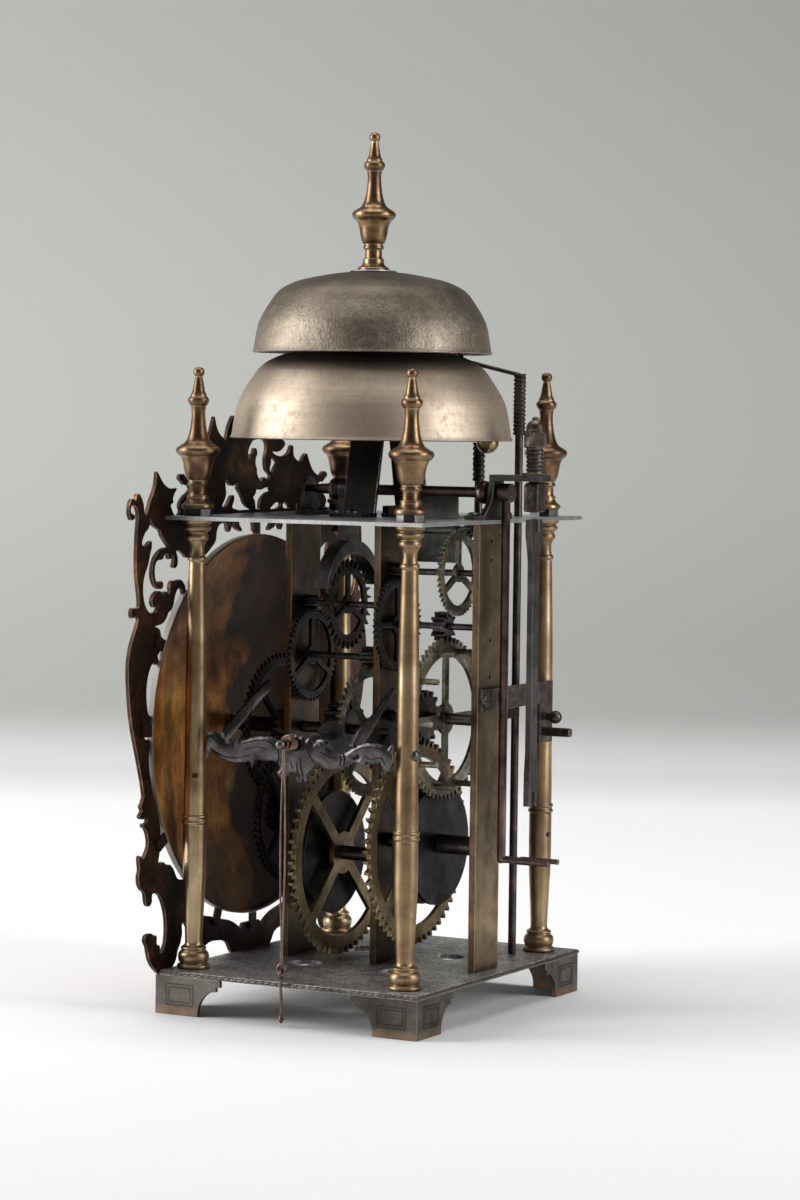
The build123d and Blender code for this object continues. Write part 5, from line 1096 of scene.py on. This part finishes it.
def sawn_plate(loops, origin, first, second, half, swell=0.0, grid=None):
    """Plate sawn to loops of (a, b), the first its edge and the rest its holes: origin + a first
    + b second + h (first x second), where h is half less swell exp(-distance to the edge / 1 mm)."""
    rim = np.concatenate(loops)
    count = np.cumsum([0] + [len(loop) for loop in loops])
    pairs = [(low + step, low + (step + 1) % (high - low)) for low, high in zip(count, count[1:])
             for step in range(high - low)]
    flat = rim
    if grid:
        low, high = rim.min(0), rim.max(0)
        a, b = np.meshgrid(np.arange(low[0], high[0], grid), np.arange(low[1], high[1], grid))
        spare = np.column_stack([a.ravel(), b.ravel()])
        clear = np.linalg.norm(spare[:, None] - rim[None], axis=2).min(1) > 0.6 * grid
        flat = np.concatenate([rim, spare[clear]])
    flat, _, corners, *_ = delaunay_2d_cdt([Vector(row) for row in flat.tolist()], pairs, [], 0, 1e-9)
    flat = np.array([tuple(row) for row in flat])
    corners = np.array([face[:3] for face in corners])
    middles = flat[corners].mean(1)
    kept = within(middles, loops[0])
    for hole in loops[1:]:
        kept &= ~within(middles, hole)
    corners = corners[kept]
    sides = np.concatenate([corners[:, [0, 1]], corners[:, [1, 2]], corners[:, [2, 0]]])
    known = {(start, end) for start, end in sides.tolist()}
    rims = [(start, end) for start, end in known if (end, start) not in known]
    near = np.linalg.norm(flat[:, None] - rim[None], axis=2).min(1) if swell else np.zeros(len(flat))
    height = (half - swell * np.exp(-near / mm))[:, None]
    first = np.asarray(first, float)
    second = np.asarray(second, float)
    level = np.asarray(origin, float) + flat[:, :1] * first + flat[:, 1:] * second
    rise = height * np.cross(first, second)
    points = np.concatenate([level + rise, level - rise])
    behind = len(flat)
    faces = corners.tolist() + (corners[:, ::-1] + behind).tolist()
    faces += [[start, start + behind, end + behind, end] for start, end in rims]
    return points, faces


fret_side = [
    (7.5, 18.0), (9.5, 16.6), (14, 17), (16.5, 18.6), (19, 22), (22, 23.6), (27, 24.4), (33, 24.7),
    (37.5, 23.6), (42, 24), (48, 29), (53.5, 35.5), (55.8, 34.5), (55.6, 31), (57, 27), (58.8, 24.6),
    (59.6, 22), (61, 19.6), (63.5, 17.6), (67, 16.4), (72, 16.1), (75, 17.6), (78, 20), (80.5, 23.2),
    (81.6, 26), (82.4, 28.8), (84, 31), (83.6, 33.2), (81, 34), (78.6, 33.7), (77.6, 32.4), (76, 32.8),
    (75, 31.6), (75.2, 29.8), (74.6, 28.5), (73, 28.2), (72.5, 26.6), (73, 25.1), (71.5, 24.8), (70, 26),
    (68.4, 29), (67.8, 33), (68, 38), (69.4, 43), (71.5, 47), (74, 49.5), (77.8, 50.4), (79, 49.4),
    (79, 47), (80.4, 45.6), (82, 45.4), (83.5, 47), (84, 49.6), (84.8, 51.6), (87, 52.8), (88.8, 55.4),
    (89.2, 58.6), (88.4, 61), (88.7, 63.6), (89, 66), (88, 67), (86.6, 65.6), (85, 66), (83.4, 68),
    (82.1, 70.3), (82.1, 73), (83.2, 76), (84.6, 77.7), (86.2, 78.6), (86, 79.9), (84.3, 79.8),
    (83, 80.6), (84, 81.9), (87.3, 81.8), (88.8, 83), (88, 84.1), (86.9, 85.2), (88, 87.1), (86.9, 88.2),
    (86.4, 89.6), (85.6, 91), (86.1, 93.5), (87, 97), (89, 103), (91, 109), (92.8, 114), (94.6, 119.5),
    (96, 125), (97, 131), (97.8, 138), (98.1, 144), (97.4, 149), (96, 153.5), (93.6, 158), (91.8, 161.5),
    (91, 164), (93.4, 165), (95, 164.4), (96.2, 165.6), (96.2, 167.4), (95, 168.6), (92.4, 168.2),
    (90.6, 168.8), (90.4, 171.5), (91.2, 176), (92.3, 181), (92.7, 187), (92.6, 193), (92.2, 199),
    (91.6, 204), (92, 207.8), (93.8, 209.9), (96.2, 210.2), (97.2, 208.6), (96.4, 206.8), (95, 206.6),
    (94, 205.5), (95, 204.4), (96.8, 204.4), (98.2, 206.6), (98.2, 209.8), (97.2, 212), (95.6, 212.9),
    (93.6, 212.2), (93, 213.8), (92, 214.9), (90.4, 214.4), (88.8, 212.6), (87.6, 210), (87, 207),
    (85.4, 206.2), (84.2, 208.6), (82.5, 212), (80.5, 215), (79, 218), (78.3, 221), (77.8, 223.8),
    (75.5, 221.5), (73, 219), (70, 217.3), (66.5, 216.5), (62.8, 216.7), (64.6, 214.4), (65.6, 212.4),
    (65.3, 210.9), (67.2, 209.8), (66.4, 208), (65, 206.2), (62.2, 205), (59.6, 207), (60.5, 209.4),
    (59.4, 211.4), (57, 213.4), (54, 214.8), (52.4, 216.2), (54, 217.8), (57, 218), (59, 219.4),
    (61, 220.8), (60, 222.2), (57.6, 222.5), (55.4, 220.9), (52, 221.2)]
fret_crest = [
    (48, 223), (44, 227), (41.4, 232), (39.6, 236.6), (37.8, 238.2), (36.5, 240.2), (35.4, 243),
    (33.8, 246.4), (32.5, 243), (31, 240.5), (29, 238.7), (26.5, 237.3), (24.8, 236.3), (23.8, 238.4),
    (23, 241), (21.4, 243.6), (18.6, 246.8), (16, 244.4), (12, 241.6), (7, 240.4), (3, 241.4), (0, 243.4),
    (-3, 241.2), (-8, 239.4), (-14, 238.4), (-20, 237.6), (-24.3, 235.1), (-22, 232.6), (-18, 231.3),
    (-14.4, 231.7), (-13, 232.3), (-15, 230.5), (-20, 229.4), (-25, 229.8), (-28, 231.5), (-29.7, 234.1),
    (-31.3, 233.4), (-31.7, 229.8), (-35, 227.4), (-38, 227), (-40.5, 229.5), (-43, 230.5), (-44.6, 228),
    (-48, 223.5)]
fret_inner = [
    (5, 29.4), (6.9, 29), (8.4, 27.2), (11, 28.8), (15, 30.8), (19, 32.2), (26, 33.7), (34, 35.6),
    (40, 37), (47, 41.5), (52.5, 48), (54.4, 53), (57.5, 53.8), (60, 54.8), (62.5, 58.5), (64.5, 60.3),
    (66, 61), (67.5, 60.7), (69, 61.6), (70.5, 62.5), (72, 62.3), (73.4, 61.5), (74.4, 62.4), (73.9, 65),
    (73, 69), (72.8, 74), (73.4, 78), (75.4, 84), (78.4, 91), (80.5, 97), (81.6, 101), (82.2, 105.5),
    (81.6, 112), (82.2, 114), (85, 114.5), (85.4, 116.4), (82.2, 116.8), (81.7, 120.4), (80.7, 123.4),
    (82, 123.8), (83.3, 125.5), (84.2, 129.5), (84.5, 134), (84, 138), (82.8, 141.5), (81, 144.3),
    (79.5, 145.4), (78, 144.6), (76.4, 144.9), (75.8, 146.5), (76.2, 148.3), (74.6, 150), (73.9, 153.5),
    (73.9, 156.5), (75, 159), (78.2, 160.4), (75, 160.8), (72, 161.7), (69.7, 163.5), (68.3, 165.6),
    (66.3, 166.5), (64.8, 168), (64, 170.5), (63, 173), (61.4, 175), (59.5, 175.4), (57.6, 174.5),
    (56.9, 172.4), (54.6, 172), (52.6, 173.6), (55.2, 174.4), (56, 176.4), (57.5, 178), (59.5, 178.9),
    (61.4, 178.7), (63, 178.1), (64.7, 178.7), (66.6, 178), (67.5, 176), (67.2, 174.6), (68.2, 173.1),
    (69.6, 174.2), (71.2, 174.3), (72.2, 173.1), (74, 174.3), (75.6, 174.8), (78, 174.3), (80, 172.8),
    (81, 170.8), (80.4, 169), (79, 168.1), (77.4, 168.4), (76, 169), (77.4, 166.6), (79.5, 165.8),
    (82, 166), (84.5, 167.5), (86.5, 170.5), (87.5, 174), (87.5, 178), (86.5, 181.5), (85, 184),
    (83.5, 187), (82.4, 190.4), (81.3, 193), (81.6, 195.4), (83.6, 194.8), (85.5, 193.6), (87.8, 193.4),
    (88.6, 195), (87.6, 197.2), (86.2, 199), (84.2, 200.3), (83, 202.3), (82.8, 204.8), (81.6, 203),
    (80, 201.6), (77.5, 200.5), (75, 199.4), (74, 197.5), (72.4, 195.9), (70, 193.8), (68.4, 192.5),
    (70.5, 192.5), (73.5, 192), (76.5, 190.6), (79, 188.5), (80.5, 186), (81.1, 183), (80.9, 180.6),
    (79.9, 178.4), (78.3, 176.5), (76.3, 175.7), (74.4, 175.5), (72.8, 176.1), (72.5, 177.6),
    (73.6, 178.7), (75.5, 178.4), (77, 177.9), (78.1, 179.2), (78.8, 181), (79, 183.5), (78.4, 185.9),
    (76.9, 187.3), (74.5, 187.5), (72.7, 187.9), (71.9, 189.2), (70.4, 190), (69, 189.5), (68.8, 188.1),
    (67.5, 187.5), (66.3, 188.2), (65.6, 189.4), (64.5, 188.8), (64.3, 187), (65, 185.2), (64.6, 184),
    (63.2, 183.8), (62, 184.8), (61.5, 186.6), (61.8, 188.6), (62.8, 190.6), (60.5, 191), (58.5, 190.1),
    (56.5, 189), (54.6, 187.8), (51, 187.3), (46, 186.6), (41, 188), (36, 191), (32, 194.2), (31.2, 198),
    (29, 201), (24, 201.6), (22.8, 199), (21.4, 197.6), (19.9, 198.7), (18.8, 201), (17.4, 201),
    (16, 199.1), (13.6, 198.2), (11.4, 197.6), (11.1, 198.7), (13, 200.6), (12.4, 202), (7, 202.2),
    (2.4, 201.8), (1.5, 199.6), (1.1, 197.6)]
fret_holes = [
    [(2, 236.4), (3.6, 235.5), (5.1, 233.9), (6.2, 231.9), (6.5, 229.4), (5.7, 228), (4.7, 228.8),
     (4.4, 230.2), (3, 230.5), (2, 231), (1.7, 232.4), (0.4, 233), (-0.8, 232), (-1, 230.3), (0, 229),
     (0.3, 226), (-0.8, 224.4), (-1.1, 222), (-2.6, 220), (-4.5, 218.8), (-5.6, 219.9), (-7.3, 220.5),
     (-9.5, 219.5), (-11.2, 219.4), (-12, 221.3), (-10.2, 222.4), (-8.8, 223.4), (-7.9, 225.4),
     (-7.6, 228.4), (-8.5, 231.2), (-8.9, 234), (-7.4, 236.2), (-3, 237)],
    [(-18, 226.6), (-14.6, 228.5), (-12.9, 229.3), (-12.5, 226.5), (-11.5, 224), (-12.6, 222.5),
     (-14.5, 222.6), (-15.6, 224.4)],
    [(3, 206.8), (6, 207.7), (9, 209.5), (11, 212.4), (12.6, 214), (14.5, 216), (14.6, 218.1), (16, 218),
     (18.5, 217.1), (21, 217.6), (23, 219.4), (24.5, 219.3), (24.5, 216.5), (24, 214), (25, 211.5),
     (27, 209), (25.4, 207.8), (23, 209.1), (21, 211.5), (19.1, 213), (17.6, 212.9), (17.6, 211),
     (19, 208), (16, 207.2), (12, 206.6)],
    [(-13, 214.5), (-10.5, 216.4), (-8, 216), (-4, 215.1), (-0.8, 215.4), (0.1, 213.5), (1.9, 212),
     (0.6, 210.4), (0.1, 208), (-0.6, 206.8), (-3.4, 206.8), (-3.6, 209), (-5, 211.4), (-7.5, 213),
     (-10, 214)],
    [(-29, 206.8), (-27, 208.5), (-24, 209.4), (-22.7, 208), (-24, 206.9)],
    [(-20.6, 207.4), (-21, 209.3), (-17, 209.4), (-14, 208), (-12.4, 206.8), (-17, 206.7)]]


def mirrored(points):
    """The same points on the other side of the middle, in the other order."""
    return [(-across, height) for across, height in points[::-1]]


def closed_run(points):
    """Catmull-Rom curve right round a loop of points, from millimetres to metres."""
    steps = 3
    drawn = smooth_run([points[-1], *points, points[0], points[1]], steps)
    return drawn[steps:-2 * steps] * mm


fret_brown = aged_metal(
    "fret_brown", [(0.0, (0.022, 0.013, 0.011)), (0.45, (0.055, 0.030, 0.022)),
                   (0.75, (0.12, 0.058, 0.032)), (1.0, (0.26, 0.13, 0.060))],
    worn=(0.55, 0.48, 0.40), patch=60.0, grain=1000.0, rough=(0.30, 0.50), relief=0.45, edge=0.3 * mm,
    speck=0.75, painted_shade_share=0.6)
fret_middle = (fret_low[1] + fret_high[1]) / 2
fret_loops = [fret_side + fret_crest + mirrored(fret_side), fret_inner + mirrored(fret_inner), *fret_holes]
piece("sawn_fret", [sawn_plate([closed_run(loop) for loop in fret_loops], (0, fret_middle, 0), (1, 0, 0),
                               (0, 0, 1), (fret_high[1] - fret_low[1]) / 2)],
      fret_brown, "frame", ("fret",))


# ---------------------------------------------------------------- pendulum
# What is left of the pendulum: a waisted strip of steel with square shoulders
# where the spring is clamped, and a slot in its foot for the rod that is gone.
blade_steel = aged_metal(
    "blade_steel", [(0.0, (0.040, 0.036, 0.034)), (0.5, (0.085, 0.078, 0.074)),
                    (1.0, (0.15, 0.138, 0.132))],
    worn=(0.36, 0.33, 0.31), patch=90.0, lines=(900.0, 900.0, 60.0), rough=(0.34, 0.52), relief=0.2,
    speck=0.5)
bar_low, bar_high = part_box("pendulum_bar")
bar_tall = (bar_high[2] - bar_low[2]) / mm
bar_half = [(5.2, 0), (5.3, -5), (5.0, -8), (4.2, -11), (3.3, -14.5), (2.9, -19), (2.8, -40), (2.8, -70),
            (2.9, 22 - bar_tall), (3.2, 18 - bar_tall), (3.7, 13 - bar_tall), (3.8, 6 - bar_tall),
            (3.7, -bar_tall), (1.5, -bar_tall), (1.5, 5 - bar_tall), (0.9, 5.8 - bar_tall)]
pendulum_edge = np.array(bar_half + mirrored(bar_half)) * mm
half_thick = 1.3 * mm
piece("pendulum_blade", [sawn_plate([pendulum_edge], (0, stud_y, bar_high[2]), (-1, 0, 0), (0, 0, 1),
                                    half_thick)], blade_steel, "pendulum", ("pendulum_bar",))


# ---------------------------------------------------------------- bridge
# A bent strip of brass, gone as dark as old steel, that is screwed across the
# back bar and ends in the stud and button that the counting lever turned on.
dress(rusty_steel, "bridge_plate")


# ---------------------------------------------------------------- lifting lever
# Steel lever cut and carved as two scrolling fish on one bar, with flat arms
# that reach into the movement. It rocks on a post that also carries a coil of
# copper wire.
lever_grey = aged_metal(
    "lever_grey", [(0.0, (0.042, 0.038, 0.037)), (0.5, (0.105, 0.098, 0.095)),
                   (1.0, (0.20, 0.19, 0.185))],
    worn=(0.56, 0.55, 0.54), patch=130.0, rough=(0.22, 0.38), relief=0.25, edge=0.25 * mm, speck=0.5)
lever_joint = joint_spots["lever_tilt"]
lever_edge = [
    (-41.2, -8.8), (-42.8, -5.6), (-43.0, -2.6), (-42.8, 0.2), (-41.6, 1.8), (-39.2, 2.6), (-36.6, 2.2),
    (-35.2, 1.0), (-34.0, -0.8), (-32.0, -1.3), (-29.9, -0.6), (-27.8, -0.9), (-26.4, 1.3), (-25.0, -0.4),
    (-23.0, 0.1), (-19.0, 1.4), (-14.9, 2.1), (-11.0, 1.9), (-8.3, 0.8), (-7.2, -0.9), (-6.3, 1.2),
    (-4.6, 2.8), (-2.0, 3.4), (0.6, 3.5), (3.0, 2.6), (4.4, 3.0), (5.6, 1.6), (7.4, 2.5), (8.5, 0.9),
    (9.6, 0.1), (10.4, 1.5), (12.2, 2.1), (14.8, 2.2), (16.6, 1.1), (16.6, -1.1), (18.2, -2.4),
    (20.9, -3.0), (24.0, -2.6), (26.2, -1.4), (28.0, -0.1), (30.6, 0.9), (34.1, 1.8), (38.4, 1.9),
    (41.6, 1.2), (43.6, 0.1), (44.6, 1.3), (45.8, 1.6), (46.0, -0.2), (45.6, -1.9), (46.0, -3.6),
    (45.6, -5.6), (44.8, -7.5), (43.6, -9.2), (41.5, -8.8), (40.4, -7.1), (39.9, -5.3), (38.3, -6.5),
    (35.5, -6.6), (33.8, -5.8), (32.6, -7.0), (32.5, -9.3), (30.9, -7.9), (29.4, -6.2), (26.8, -6.8),
    (25.2, -8.2), (22.2, -8.5), (19.8, -9.6), (16.6, -9.7), (13.1, -9.0), (10.6, -7.9), (9.0, -8.9),
    (8.0, -10.5), (6.4, -11.7), (5.6, -15.4), (4.2, -13.7), (2.9, -15.9), (1.4, -14.8), (1.6, -12.6),
    (-1.0, -11.9), (-2.8, -13.6), (-5.1, -15.2), (-7.3, -14.0), (-7.8, -12.2), (-6.5, -10.6),
    (-7.2, -9.1), (-9.0, -8.1), (-13.0, -8.2), (-16.8, -7.8), (-18.7, -8.3), (-19.8, -11.0),
    (-20.9, -8.8), (-24.2, -9.5), (-29.6, -9.9), (-34.4, -8.6), (-38.2, -6.2), (-40.4, -6.2)]
eye_turn = full_turn(16)
eye_hole = mm * (np.array([29.3, -4.1]) + 1.05 * np.column_stack([np.cos(eye_turn), np.sin(eye_turn)]))
post_hole = mm * 2.1 * np.column_stack([np.cos(eye_turn), np.sin(eye_turn)])


def blade(path, widths, thick):
    """Flat bar along a path: its section is thick across, and width(u) wide in the upright plane, with
    corners rounded as a superellipse, whose cosine and sine are raised to a power."""
    way = np.gradient(path, axis=0)
    way /= np.linalg.norm(way, axis=1, keepdims=True)
    thin = np.cross(way, (0, 0, 1.0))
    thin /= np.linalg.norm(thin, axis=1, keepdims=True)
    broad = np.cross(thin, way)
    columns = 12
    power = 0.4
    turn = full_turn(columns)
    wave = np.sign(np.cos(turn)) * np.abs(np.cos(turn))**power
    other = np.sign(np.sin(turn)) * np.abs(np.sin(turn))**power
    points = (path[:, None] + wave[None, :, None] * thin[:, None] * thick / 2
              + other[None, :, None] * broad[:, None] * np.asarray(widths)[:, None, None] / 2)
    return points, ring_faces(len(path), columns)


lever_half = 1.25 * mm
edge_fall = 0.95 * mm
lever_grid = 0.8 * mm
arm_thick = 1.7 * mm


def lever_arm(spots, widths):
    """Blade on the lever, through spots (x, y, z) from its post, with its widths at the same spots."""
    rows = smooth_run(np.column_stack([spots, widths]), 6) * mm
    return blade(rows[:, :3] + np.array(lever_joint), rows[:, 3], arm_thick)


piece("carved_lever", [
    sawn_plate([closed_run(lever_edge), eye_hole, post_hole], lever_joint, (0, 1, 0), (0, 0, 1),
               lever_half, edge_fall, lever_grid),
    lever_arm([(0, -34, 0), (-8, -35, 3.4), (-18, -36, 8), (-30, -37, 13.6), (-44, -38.4, 19)],
              [5.4, 5.6, 5.4, 5.0, 4.2]),
    lever_arm([(0.5, 27.5, -1), (-5, 27.8, 3.5), (-10, 27.8, 6.4), (-16, 27.6, 9.4), (-24, 27.2, 14.6),
               (-34.4, 26.8, 20.6)], [4.6, 6.8, 6.6, 4.6, 3.2, 2.0])],
      lever_grey, "lifting_lever", ("scroll_lever",), 40.0)
groove_dark = aged_metal(
    "groove_dark", [(0.0, (0.010, 0.009, 0.008)), (1.0, (0.030, 0.027, 0.025))],
    worn=(0.05, 0.045, 0.04), rough=(0.5, 0.7))
chased_lines = [
    [(-39, -4.6), (-36, -6.2), (-31, -7.6), (-25, -7.4), (-20.5, -6)],
    [(-38.6, 0.6), (-37, -0.9), (-34.6, -2.4)],
    [(-24, -1.6), (-19, -0.2), (-14.5, 0.4), (-11, -0.2), (-9, -2.2)],
    [(-22.6, -4), (-17, -2.6), (-12, -3.4)], [(-7.4, -2.4), (-6.4, -5.8), (-7.6, -8.6)],
    [(-4.6, -6.5), (-4.4, -10), (-6, -13)], [(-1, -7), (0, -10.5)], [(3.4, -6), (4, -10), (5, -13.4)],
    [(2, -7.5), (2.2, -11), (2.8, -14.6)], [(6.8, -1.2), (8, -4.6), (9.8, -7)],
    [(10.2, -0.4), (12, -1), (13.4, -0.2), (13, 0.9), (11.8, 0.8)], [(13, -3), (17, -4.6), (21, -4.8)],
    [(21.6, -3.4), (22.4, -5.6), (21.8, -8)], [(23.4, -3), (24.2, -5.4), (23.8, -7.8)],
    [(28.6, -1.6), (33, 0.2), (38, 0.3), (42.4, -1)], [(33, -3.4), (36.5, -4.6), (40.6, -3.6), (42.6, -6)]]
groove_depth = 1.22 * mm
groove_width = 0.22 * mm
grooves = []
for line in chased_lines:
    path = smooth_run(line, 5) * mm
    path = np.column_stack([np.full(len(path), groove_depth), path]) + np.array(lever_joint)
    grooves.append(tube(path, groove_width, (1, 0, 0), 6))
piece("lever_chasing", grooves, groove_dark, "lifting_lever")
dress(dark_steel, "lever_cock", "lever_post")
copper_wire = aged_metal(
    "copper_wire", [(0.0, (0.12, 0.065, 0.045)), (1.0, (0.32, 0.19, 0.14))],
    worn=(0.60, 0.42, 0.34), patch=200.0, grain=1700.0, rough=(0.28, 0.45))
coil_low, coil_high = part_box("lever_coil")
copper_core = 2.0 * mm
copper_swell = 1.1 * mm
copper_pitch = 1.15 * mm
piece("lever_coil_wire", [helix_skin(coil_low[0], coil_high[0], copper_core, copper_swell, copper_pitch,
                                     (0, lever_joint[1], lever_joint[2]), "x")],
      copper_wire, "frame", ("lever_coil",), 180.0)


# ---------------------------------------------------------------- pull wire
# Two strands of soft iron wire, twisted together at both ends and bowed apart
# between. It hooks over the lever's post, and a short tail hangs from its foot.
wire_x, wire_y, eye_top = joint_spots["pull_wire_swing"]
eye_radius = 1.8 * mm
eye_wire = 0.6 * mm
strand = 0.42 * mm
bow = 1.0 * mm
flatness = 0.35
top_twist = 0.10
foot_twist = 0.84
eye_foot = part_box("pull_wire")[0][2] + eye_wire + eye_radius


def twisted_strands():
    """Strand k: the axis plus s(u) (flatness cos, sin) of k pi plus the twist, with s small at the ends,
    where the twist turns, and wide between, where it stops."""
    share = np.linspace(0, 1, 420)
    height = eye_top - eye_radius - share * (eye_top - eye_foot - 2 * eye_radius)
    between = np.clip((share - top_twist) / (foot_twist - top_twist), 0, 1)
    apart = strand * 0.98 + bow * np.clip(np.sin(pi * between), 0, 1)**0.8
    twist = 2 * pi * (3 * np.minimum(share, top_twist) / top_twist
                      + 5 * np.maximum(share - foot_twist, 0) / (1 - foot_twist))
    shapes = []
    for number in range(2):
        angle = twist + number * pi + pi / 3
        path = np.column_stack([wire_x + flatness * apart * np.cos(angle), wire_y + apart * np.sin(angle),
                                height])
        shapes.append(tube(path, strand, (1, 0, 0), 8))
    return shapes


def wire_eye(height, across):
    """Ring of wire on the pull's line: centre + radius (cos v a + sin v up), where a is its plane's way."""
    turn = full_turn(40)[:, None]
    path = np.array([wire_x, wire_y, height]) + eye_radius * (np.cos(turn) * np.asarray(across, float)
                                                              + np.sin(turn) * np.array([0, 0, 1.0]))
    return tube(path, eye_wire, np.cross(across, (0, 0, 1)), 10, True)


piece("twisted_pull_wire", [*twisted_strands(), wire_eye(eye_top, (0, 1, 0)), wire_eye(eye_foot, (0, 1, 0))],
      brown_steel, "upper_pull", ("pull_wire",))
tail_low, tail_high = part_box("pull_tail")
tail_eye = tail_high[2] - eye_wire - eye_radius
tail_top = tail_eye - eye_radius
tail_sway = 0.5 * mm
tail_share = np.linspace(0, 1, 40)
tail_path = np.column_stack([wire_x + tail_sway * np.sin(2.5 * pi * tail_share) * (1 - tail_share),
                             np.full(40, wire_y),
                             tail_top - tail_share * (tail_top - tail_low[2] - 0.3 * mm)])
tail_bead = 0.55 + 0.85 * np.exp(-((tail_share - 0.93) / 0.05)**2)
tail_radius = mm * tail_bead * np.clip((1.02 - tail_share) * 12, 0.2, 1)
piece("pull_wire_tail", [tube(tail_path, tail_radius, (0, 1, 0), 12), wire_eye(tail_eye, (1, 0, 0))],
      brown_steel, "lower_pull", ("pull_tail",))
